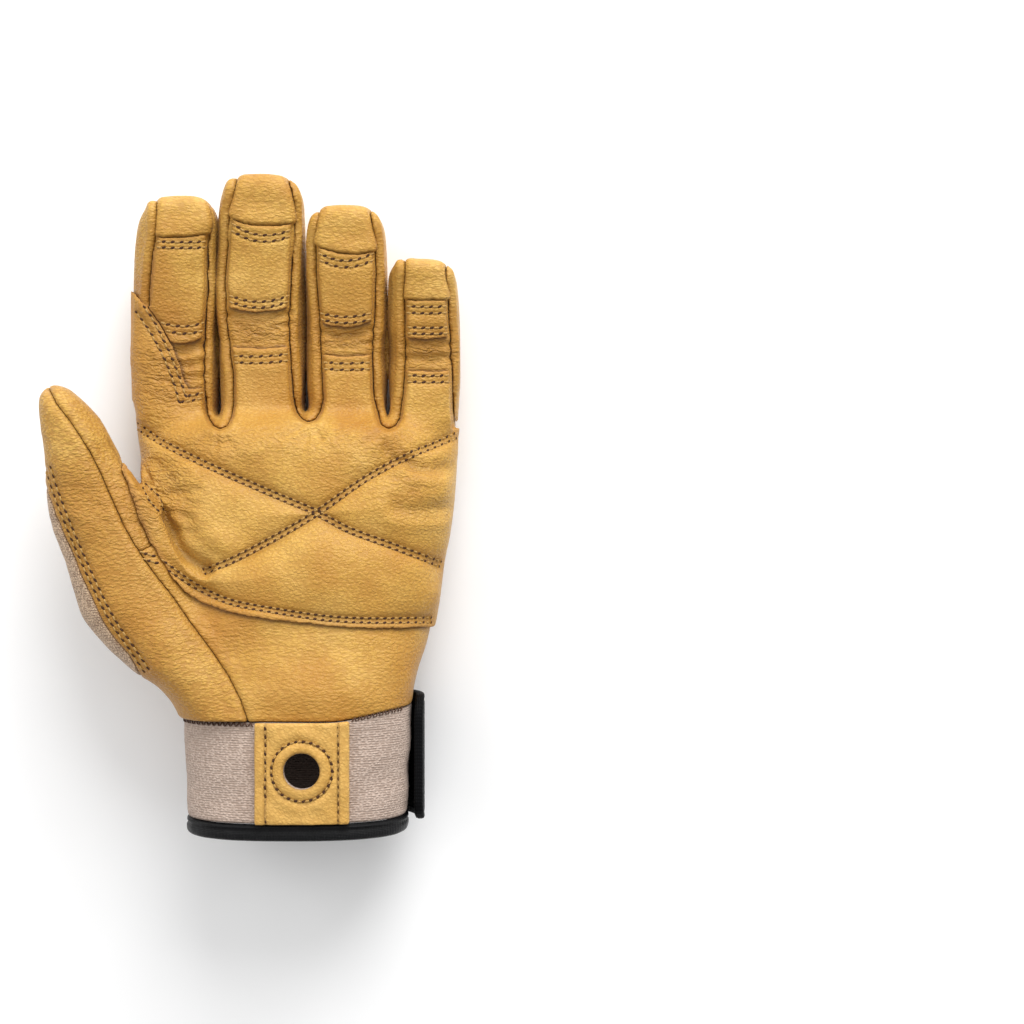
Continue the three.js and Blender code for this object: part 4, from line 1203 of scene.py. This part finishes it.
shell_panel("hand_back_cloth", (-93, 62, 36, 156, -1.2, 60), back_limits, KNIT, "knit_cloth")
for finger, (middle, half, *_) in FINGERS.items():
    left = GRID_LOW[0] if finger == "index" else middle - half - 0.2
    right = GRID_HIGH[0] if finger == "little" else middle + half + 0.2
    shell_panel(finger + "_back_leather", (left - 2, right + 2, 120, 230, -1.2, 40),
                lambda cuts, x, y, z, left=left, right=right: [
                    left - x, x - right, KNUCKLES + SEAM_GAP - y, z - SPLIT_HEIGHT,
                    *apart(cuts, "thumb_outer", "thumb_inner", *FINGER_SEAMS)],
                GRAIN, low_resolution=True)


def layer_panel(node_name, box, outline):
    """A second layer of leather over the first, with a raw edge."""
    cuts, x, y, z = block(*box)
    d = HAND[cuts]
    if node_name == "palm_patch":
        # The patch's tip in the notch by the thumb sinks into the leather under it.
        column, row = to_picture(x, y, z)
        sunk = (1 - ease(row, *PATCH_TIP_ROWS)) * (1 - ease(column, *PATCH_TIP_COLUMNS))
        d = d + (LAYER_GAP + PATCH + 0.2) * sunk
    middle = LAYER_GAP + PATCH / 2
    field = smooth_max(np.abs(d - middle) - PATCH / 2, plan_part(outline, cuts), 0.5)
    field = smooth_max(field, SPLIT_HEIGHT - 5 - z, 0.8)
    return dress_panel(node_name, cuts, field, PATCH_GRAIN, "patch_leather", layer=LAYER_GAP + PATCH,
                       thickness=PATCH)


def build_lining():
    """The cloth lining of the hand, an open bag of one thickness that ends at the cuff."""
    cuts = block(*WHOLE)[0]
    points, quads = largest_parts(*surface_of(HAND[cuts] + LEATHER + LINING_GAP, cuts, 3))
    normal = outward(HAND, points)
    column, row = to_picture(*points.T)
    pressed = np.minimum(sample_map(RELIEF, column, row), 0) * ease(normal[:, 2], 0.0, 0.5)
    points = points + normal * pressed[:, None]
    open_end = (points[quads][:, :, 1] < CUFF_TOP + 1).all(1)
    made = mesh_object("hand_lining", points, quads[~open_end], LINING, np.zeros((len(points), 4)))
    thick = made.modifiers.new("thickness", "SOLIDIFY")
    thick.thickness = LINING_THICKNESS / PER_METRE
    thick.offset = -1
    apply_modifiers(made)
    finish_piece(made, "knit_cloth")


def apply_modifiers(made):
    graph = bpy.context.evaluated_depsgraph_get()
    mesh = bpy.data.meshes.new_from_object(made.evaluated_get(graph))
    old = made.data
    made.modifiers.clear()
    made.data = mesh
    bpy.data.meshes.remove(old)


build_lining()
layer_panel("palm_patch", (-75, 62, 60, 200, -1.2, 60), "patch")
for finger, (middle, half, *_) in FINGERS.items():
    layer_panel(finger + "_pad", (middle - half - 2, middle + half + 2, 150, 230, 5, 60), finger + "_pad")

# The cuff: a tapered sleeve with the same kind of section as the palm.
CUFF = {"top": 77.4 / 2, "hem": 73.6 / 2, "depth": 23.7, "height": 27.7, "length": 39.0, "power": 2.5}
TAB_MIDDLE, TAB_HALF, TAB_ROW_INSET = 4.2, 15.5, 3.7
HOLE_HEIGHT, HOLE_RADIUS, HOLE_ROW_RADIUS = 23.4, 5.95, 9.8
HEM_TOP, HEM_CLEARANCE = 5.6, 0.2
STRAP_LOW, STRAP_HIGH, STRAP_END, STRAP_CORNER = 3.0, 46.0, 33.7, 8.0
STRAP_ROW_INSET = 2.2


def cuff_half(y):
    """Half the cuff's width at a height above its hem."""
    return CUFF["hem"] + (CUFF["top"] - CUFF["hem"]) * y / CUFF["length"]


def sleeve_distance(x, half, z):
    """About the distance to the elastic's outer surface."""
    return rounded_box_distance(x, half, z - CUFF["height"], CUFF["depth"], CUFF["power"])


CUFF_CUTS, CX, CY, CZ = block(-46, 50, -2, 52, -1.2, 58)
SLEEVE = sleeve_distance(CX, cuff_half(CY), CZ)
SLEEVE_WHOLE = np.full((len(GX), len(GY), len(GZ)), FAR, np.float32)
SLEEVE_WHOLE[CUFF_CUTS] = SLEEVE
HOLE_REACH = np.hypot(CX - TAB_MIDDLE, CY - HOLE_HEIGHT) + 0 * CZ
FRONT = CZ > CUFF["height"]
# Negative between the hem's top and the leather's lower edge.
BETWEEN_EDGES = np.maximum(HEM_TOP + HEM_CLEARANCE - CY, CY - cuff_edge(CX) + HEM_CLEARANCE)


def rounded_slab(a, b, radius):
    """The distance to where both a and b are negative, with the edge between them rounded."""
    a, b = a + radius, b + radius
    outside = np.sqrt(np.maximum(a, 0) ** 2 + np.maximum(b, 0) ** 2)
    return outside + np.minimum(np.maximum(a, b), 0) - radius


def without_hole(field, behind):
    """The field with the hook hole cut in front, and another field or value behind."""
    return np.where(FRONT, np.maximum(field, HOLE_RADIUS + 0.1 - HOLE_REACH), behind)


def wobble(points, seed, size):
    """Slow random waves over points in space."""
    rng = np.random.default_rng(seed)
    total = np.zeros(len(points))
    for _ in range(10):
        way = rng.standard_normal(3)
        total += np.sin(points @ (way / np.linalg.norm(way)) * (2 * math.pi / size)
                        * rng.uniform(0.7, 1.6) + rng.uniform(0, 6.3))
    return total / 4


def from_hole(p):
    return np.hypot(p[:, 0] - TAB_MIDDLE, p[:, 1] - HOLE_HEIGHT)


def from_tab_row(p, inset=TAB_ROW_INSET):
    return np.abs(p[:, 0] - TAB_MIDDLE) - TAB_HALF + inset


def from_strap_row(p):
    return np.minimum(np.abs(p[:, 1] - STRAP_LOW - STRAP_ROW_INSET),
                      np.abs(p[:, 1] - STRAP_HIGH + STRAP_ROW_INSET))


def elastic_relief(p, level):
    return np.where(level > -1, 0.22 * wobble(p, 3, 16) + 0.03 * np.sin(p[:, 1] * 1.9), 0)


def elastic_shade(p):
    return 0.5 * bell(p[:, 1] - cuff_edge(p[:, 0]), 0.8) + 0.5 * bell(p[:, 1] - 5.8, 0.6)


def hem_relief(p, level):
    return np.where(level > -1, -0.8 * bell(p[:, 1] - 3.7, 0.5) + 0.06 * wobble(p, 5, 6), 0)


def hem_shade(p):
    return 0.6 * bell(p[:, 1] - 3.9, 0.4)


def tab_relief(p, level):
    return np.where(level > 1.2, 0.25 * wobble(p, 8, 9) - 0.4 * bell(np.abs(from_tab_row(p)), 0.8)
                    - 0.35 * bell(from_hole(p) - HOLE_ROW_RADIUS, 1.0)
                    + 0.3 * bell(from_hole(p) - 12.4, 1.6), 0)


def tab_shade(p):
    return 0.55 * bell(from_tab_row(p, TAB_ROW_INSET - 0.1), 0.35)


def ring_relief(p, level):
    return np.where(level > 1.7, 0.12 * wobble(p, 9, 6) - 0.25 * bell(from_hole(p) - 9.5, 0.6), 0)


def ring_shade(p):
    return 0.3 * bell(from_hole(p) - 6.0, 0.6)


def strap_relief(p, level):
    return -0.2 * bell(from_strap_row(p), 0.5) * (level > 2.5) * (p[:, 2] > 1)


def strap_shade(p):
    return 0.3 * bell(from_strap_row(p), 0.5)


def cuff_piece(node_name, field, material, slot, relief_of, shade_of):
    """Mesh a piece of the cuff, with its relief and its dark lines of painted shade."""
    points, quads = largest_parts(*surface_of(field, CUFF_CUTS))
    level = sample_volume(SLEEVE_WHOLE, points)
    normal = outward(SLEEVE_WHOLE, points)
    points = points + normal * relief_of(points, level)[:, None]
    tone = np.zeros((len(points), 4))
    tone[:, 0] = shade_of(points)
    tone[:, 2] = 0.45
    # The unseen inner side, painted darker as shade on cloth.
    tone[:, 3] = 1 - ease(level, -1.6, -0.9)
    points[:, 2] = np.maximum(points[:, 2], FLOOR_GAP)
    return finish_piece(mesh_object(node_name + "_skin", points, quads, material, tone), slot, node_name)


elastic = rounded_slab(np.abs(SLEEVE + 1.0) - 1.0, BETWEEN_EDGES, 0.4)
cuff_piece("cuff_elastic", without_hole(elastic, elastic), ELASTIC, "elastic_band", elastic_relief,
           elastic_shade)

hem = rounded_slab(np.abs(SLEEVE + 1.0) - 1.7, np.abs(CY - HEM_TOP / 2) - HEM_TOP / 2, 1.5)
cuff_piece("cuff_hem_binding", hem, BINDING, "black_binding", hem_relief, hem_shade)

# The tab is a thin sheet with a thicker strip along each side.
across_tab = np.abs(CX - TAB_MIDDLE) - TAB_HALF
sheet = rounded_slab(np.abs(SLEEVE - 1.1) - 0.8, np.maximum(across_tab, BETWEEN_EDGES), 0.5)
strips = rounded_slab(np.abs(SLEEVE - 1.5) - 1.15,
                      np.maximum(np.abs(across_tab + 1.75) - 1.75, BETWEEN_EDGES), 0.8)
cuff_piece("cuff_tab", without_hole(np.minimum(sheet, strips), FAR), TAB_GRAIN, "patch_leather",
           tab_relief, tab_shade)

ring_crown = 2.1 + 0.5 * bell(HOLE_REACH - 7.2, 1.9)
ring = rounded_slab(np.maximum(SLEEVE - ring_crown, 1.2 - SLEEVE), np.abs(HOLE_REACH - 7.85) - 1.95, 0.5)
cuff_piece("hook_hole_ring", np.where(FRONT, ring, FAR), TAB_GRAIN, "patch_leather", ring_relief,
           ring_shade)

# The strap lies on the straight sleeve: across the back, and up the right side to a rounded end.
straight = sleeve_distance(CX + 0 * CY, CUFF["top"], CZ)
strap_wall = np.maximum(np.maximum(straight - 4.4, -CZ), -np.maximum(straight - 1.4, 3.0 - CZ))
ends = np.maximum(STRAP_LOW - CY, CY - STRAP_HIGH)
right_side = np.maximum(rounded_slab(ends, CZ - STRAP_END, STRAP_CORNER), -CX)
on_back = np.maximum(np.maximum(ends, CZ - CUFF["height"]), np.maximum(-19.35 - CX, CX - 0.3))
strap = rounded_slab(strap_wall, np.minimum(right_side, on_back), 0.7)
cuff_piece("closure_strap", strap, STRAP, "black_strap", strap_relief, strap_shade)


# Stitches: a short arched length of thread between two needle holes, each a dark lens of painted shade.
THREAD_RADIUS, THREAD_ARCH, THREAD_SINK = 0.34, 0.28, 0.1
HOLE_WIDTH, HOLE_BULGE, HOLE_LIFT, HOLE_SLANT = 0.46, 0.17, 0.08, (0.9, 0.43)
EDGE_PITCH = 0.95


def thread_template(sides=6, rings=7):
    """Points with their rise in the arch as a fourth value, quads, and the caps' triangles."""
    t = np.linspace(-1, 1, rings)
    radius = np.sqrt(np.clip(1 - np.abs(t) ** 4, 0.05, 1))
    lift = 1 - t * t
    turn = np.linspace(0, 2 * math.pi, sides, endpoint=False)
    points = [(s, math.cos(a) * r, math.sin(a) * r, rise)
              for s, r, rise in zip(t, radius, lift) for a in turn]
    faces = [(i * sides + j, (i + 1) * sides + j, (i + 1) * sides + (j + 1) % sides,
              i * sides + (j + 1) % sides) for i in range(rings - 1) for j in range(sides)]
    caps = [(0, j, j + 1) for j in range(1, sides - 1)]
    last = (rings - 1) * sides
    caps += [(last, last + j + 1, last + j) for j in range(1, sides - 1)]
    return np.array(points), np.array(faces)[:, ::-1], np.array(caps)[:, ::-1]


def lens_template(sides=10):
    """A flat lens: points, quads and triangles."""
    points = [(0, 0, 1)]
    for radius, level in ((0.6, 0.75), (1.0, 0.0)):
        points += [(math.cos(a) * radius, math.sin(a) * radius, level)
                   for a in np.linspace(0, 2 * math.pi, sides, endpoint=False)]
    points.append((0, 0, -0.6))
    tris = [(0, 1 + j, 1 + (j + 1) % sides) for j in range(sides)]
    under = len(points) - 1
    tris += [(under, 1 + sides + (j + 1) % sides, 1 + sides + j) for j in range(sides)]
    quads = [(1 + j, 1 + sides + j, 1 + sides + (j + 1) % sides, 1 + (j + 1) % sides) for j in range(sides)]
    return np.array(points, float), np.array(quads), np.array(tris)


def stamp(template, centres, along, aside, up, scales):
    """Copies of a template at each centre, joined: scales are along, aside and up."""
    points, quads, tris = template
    count, size = len(centres), len(points)
    sa, sb, sc = (np.broadcast_to(s, (count,))[:, None, None] for s in scales)
    made = (centres[:, None] + along[:, None] * points[None, :, 0:1] * sa
            + aside[:, None] * points[None, :, 1:2] * sb + up[:, None] * points[None, :, 2:3] * sc)
    if points.shape[1] == 4:
        made = made + up[:, None] * points[None, :, 3:4] * THREAD_ARCH
    offsets = (np.arange(count) * size)[:, None, None]
    return (made.reshape(-1, 3), (quads[None] + offsets).reshape(-1, 4),
            (tris[None] + offsets).reshape(-1, 3))


def evenly(points, pitch, scale=MM_PER_PIXEL):
    """Places at an even pitch along a line, and half way between them."""
    p = np.array(rounded(points), float)
    steps = np.linalg.norm(np.diff(p, axis=0), axis=1) * scale
    length = np.concatenate([[0], np.cumsum(steps)])
    count = max(int(round(length[-1] / pitch)), 1)
    marks = (np.arange(count * 2 + 1) / 2) * length[-1] / count
    spread = np.stack([np.interp(marks, length, p[:, k]) for k in range(2)], 1)
    return spread[::2], spread[1::2]


def on_piece(made, column, row):
    """Points on a piece where the camera sees it at places of the picture, and the way out there."""
    eye = Vector((EYE_X, EYE_Y, EYE_LEVEL + EYE_DISTANCE)) + Vector(SHIFT)
    points = []
    for c, r in zip(column, row):
        x, y = from_picture(c, r, 0.0)
        way = Vector((x, y, 0.0)) + Vector(SHIFT) - eye
        hit, place, _, _ = made.ray_cast(eye / PER_METRE, way.normalized())
        points.append([v * PER_METRE for v in place] - SHIFT if hit else [np.nan] * 3)
    points = np.array(points, float)
    seen = ~np.isnan(points[:, 0])
    return points, outward(HAND, np.where(seen[:, None], points, 0)), seen


STITCH_PARTS, HOLE_SHADE_PARTS = [], []


def sew(points, normals, hole_points, hole_normals, pitch):
    """Thread at the middle points, and needle holes as dark lenses of painted shade at the others."""
    def frames(places, ups):
        along = np.gradient(places, axis=0)
        along /= np.maximum(np.linalg.norm(along, axis=1), 1e-6)[:, None]
        along -= ups * (along * ups).sum(1)[:, None]
        along /= np.maximum(np.linalg.norm(along, axis=1), 1e-6)[:, None]
        return along, np.cross(ups, along)
    if len(points) < 2 or len(hole_points) < 2:
        return
    along, aside = frames(points, normals)
    STITCH_PARTS.append(stamp(THREAD_SHAPE, points - normals * THREAD_SINK, along, aside, normals,
                              (pitch * 0.3, THREAD_RADIUS, THREAD_RADIUS)))
    along, aside = frames(hole_points, hole_normals)
    slant = along * HOLE_SLANT[0] + aside * HOLE_SLANT[1]
    slant_aside = np.cross(hole_normals, slant)
    HOLE_SHADE_PARTS.append(stamp(HOLE_SHAPE, hole_points + hole_normals * HOLE_LIFT, slant, slant_aside,
                            hole_normals, (0.26 * pitch, HOLE_WIDTH, HOLE_BULGE)))


THREAD_SHAPE, HOLE_SHAPE = thread_template(), lens_template()
bpy.context.view_layer.update()
for piece, rows in ROWS.items():
    made = bpy.data.objects[piece + "_skin"]
    for points, pitch in rows:
        holes, middles = evenly(points, pitch)
        hole_at, hole_up, hole_seen = on_piece(made, holes[:, 0], holes[:, 1])
        at, up, seen = on_piece(made, middles[:, 0], middles[:, 1])
        sew(at[seen], up[seen], hole_at[hole_seen], hole_up[hole_seen], pitch)


def on_cuff(x, y, level, relief_of):
    """Points over the front of the cuff at a level above the elastic, and the way out there."""
    power = CUFF["power"]
    fullness = (1 - np.clip(np.abs(x) / cuff_half(y), 0, 1) ** power) ** (1 / power)
    z = CUFF["height"] + CUFF["depth"] * fullness
    base = np.stack([x, y, z], 1)
    normal = outward(SLEEVE_WHOLE, base)
    rise = relief_of(base, np.full(len(x), level)) + level
    return base + normal * rise[:, None], normal


def sew_cuff(line, pitch, level, relief_of):
    holes, middles = evenly(line, pitch, 1.0)
    hole_at, hole_up = on_cuff(holes[:, 0], holes[:, 1], level, relief_of)
    at, up = on_cuff(middles[:, 0], middles[:, 1], level, relief_of)
    sew(at, up, hole_at, hole_up, pitch)


for side in (-1, 1):
    x = TAB_MIDDLE + side * (TAB_HALF - TAB_ROW_INSET)
    sew_cuff([(x, 7.0), (x, 22), (x, 37.5)], 2.7, 2.1, tab_relief)
circle = [(TAB_MIDDLE + HOLE_ROW_RADIUS * math.cos(a), HOLE_HEIGHT + HOLE_ROW_RADIUS * math.sin(a))
          for a in np.linspace(0, 2 * math.pi, 60)]
sew_cuff(circle, 2.5, 2.2, tab_relief)


def edge_threads():
    """The overlocked edge at the top of the elastic: short slanted threads beside the tab."""
    x = np.concatenate([np.arange(-37.0, TAB_MIDDLE - TAB_HALF - 0.6, EDGE_PITCH),
                        np.arange(TAB_MIDDLE + TAB_HALF + 0.9, 36.6, EDGE_PITCH)])
    y = cuff_edge(x) - 0.9 + 0.6 * (x > 0)
    at, up = on_cuff(x, y, 0.1, lambda p, level: 0 * p[:, 0])
    lean = np.where(np.arange(len(x)) % 2, 0.75, -0.35)
    along = np.stack([lean, np.ones(len(x)), np.zeros(len(x))], 1)
    along -= up * (along * up).sum(1)[:, None]
    along /= np.linalg.norm(along, axis=1)[:, None]
    return stamp(THREAD_SHAPE, at, along, np.cross(up, along), up, (0.85, 0.24, 0.3))


def joined_parts(name, parts, material):
    """One piece from many stamped shapes."""
    starts = np.cumsum([0] + [len(points) for points, _, _ in parts])
    points = np.concatenate([part[0] for part in parts])
    quads = np.concatenate([part[1] + start for part, start in zip(parts, starts)])
    triangles = np.concatenate([part[2] + start for part, start in zip(parts, starts)])
    return finish_piece(mesh_object(name, points, quads, material, triangles=triangles), "patch_leather")


joined_parts("seam_threads", STITCH_PARTS, THREAD)
joined_parts("needle_hole_shades", HOLE_SHADE_PARTS, NEEDLE_HOLE_SHADE)
joined_parts("edge_threads", [edge_threads()], DARK_THREAD)


# The floor, the light and the camera.
def build_floor():
    """A wide floor."""
    mesh = bpy.data.meshes.new("floor")
    reach = 3.0
    mesh.from_pydata([(-reach, -reach, 0), (reach, -reach, 0), (reach, reach, 0), (-reach, reach, 0)], [],
                     [(0, 1, 2, 3)])
    mesh.materials.append(FLOOR)
    add_object("floor", mesh)


def area_light(name, place, target, size, power):
    data = bpy.data.lights.new(name, "AREA")
    data.shape = "DISK"
    data.size = size
    data.energy = power
    made = add_object(name, data)
    made.location = place
    from_light = [t - p for t, p in zip(target, place)]
    length = math.sqrt(sum(v * v for v in from_light))
    made.rotation_euler = (math.acos(-from_light[2] / length), 0,
                           math.atan2(from_light[1], from_light[0]) - math.pi / 2)


build_floor()
area_light("key", (0.4, 1.25, 0.75), (0, 0, 0.02), 1.1, 25)
area_light("fill", (-0.9, 0.3, 0.9), (0, 0, 0.02), 0.9, 3.5)


def soft_sky():
    """White light from all round, more of it from above and from the fingertips' side."""
    made = bpy.data.worlds.new("studio")
    made.use_nodes = True
    tree = made.node_tree
    way = node(tree, "ShaderNodeTexCoord").outputs["Generated"]
    toward = node(tree, "ShaderNodeVectorMath", {0: way, 1: (0.1, 0.45, 0.88)}, operation="DOT_PRODUCT")
    lit = math_node(tree, "MULTIPLY", math_node(tree, "MAXIMUM", toward.outputs["Value"], 0.0), 0.6)
    background = tree.nodes["Background"]
    background.inputs["Color"].default_value = (1, 1, 1, 1)
    tree.links.new(math_node(tree, "ADD", lit, 0.33), background.inputs["Strength"])
    return made


bpy.context.scene.world = soft_sky()
bpy.context.scene.view_settings.view_transform = "Standard"

SENSOR = 36.0
camera_data = bpy.data.cameras.new("camera")
camera_data.sensor_fit = "HORIZONTAL"
camera_data.sensor_width = SENSOR
camera_data.lens = SENSOR * EYE_DISTANCE / (PICTURE * MM_PER_PIXEL)
camera_data.clip_start = 0.01
camera = add_object("camera", camera_data)
camera.location = (np.array((EYE_X, EYE_Y, EYE_LEVEL + EYE_DISTANCE)) + SHIFT) / PER_METRE
bpy.context.scene.camera = camera
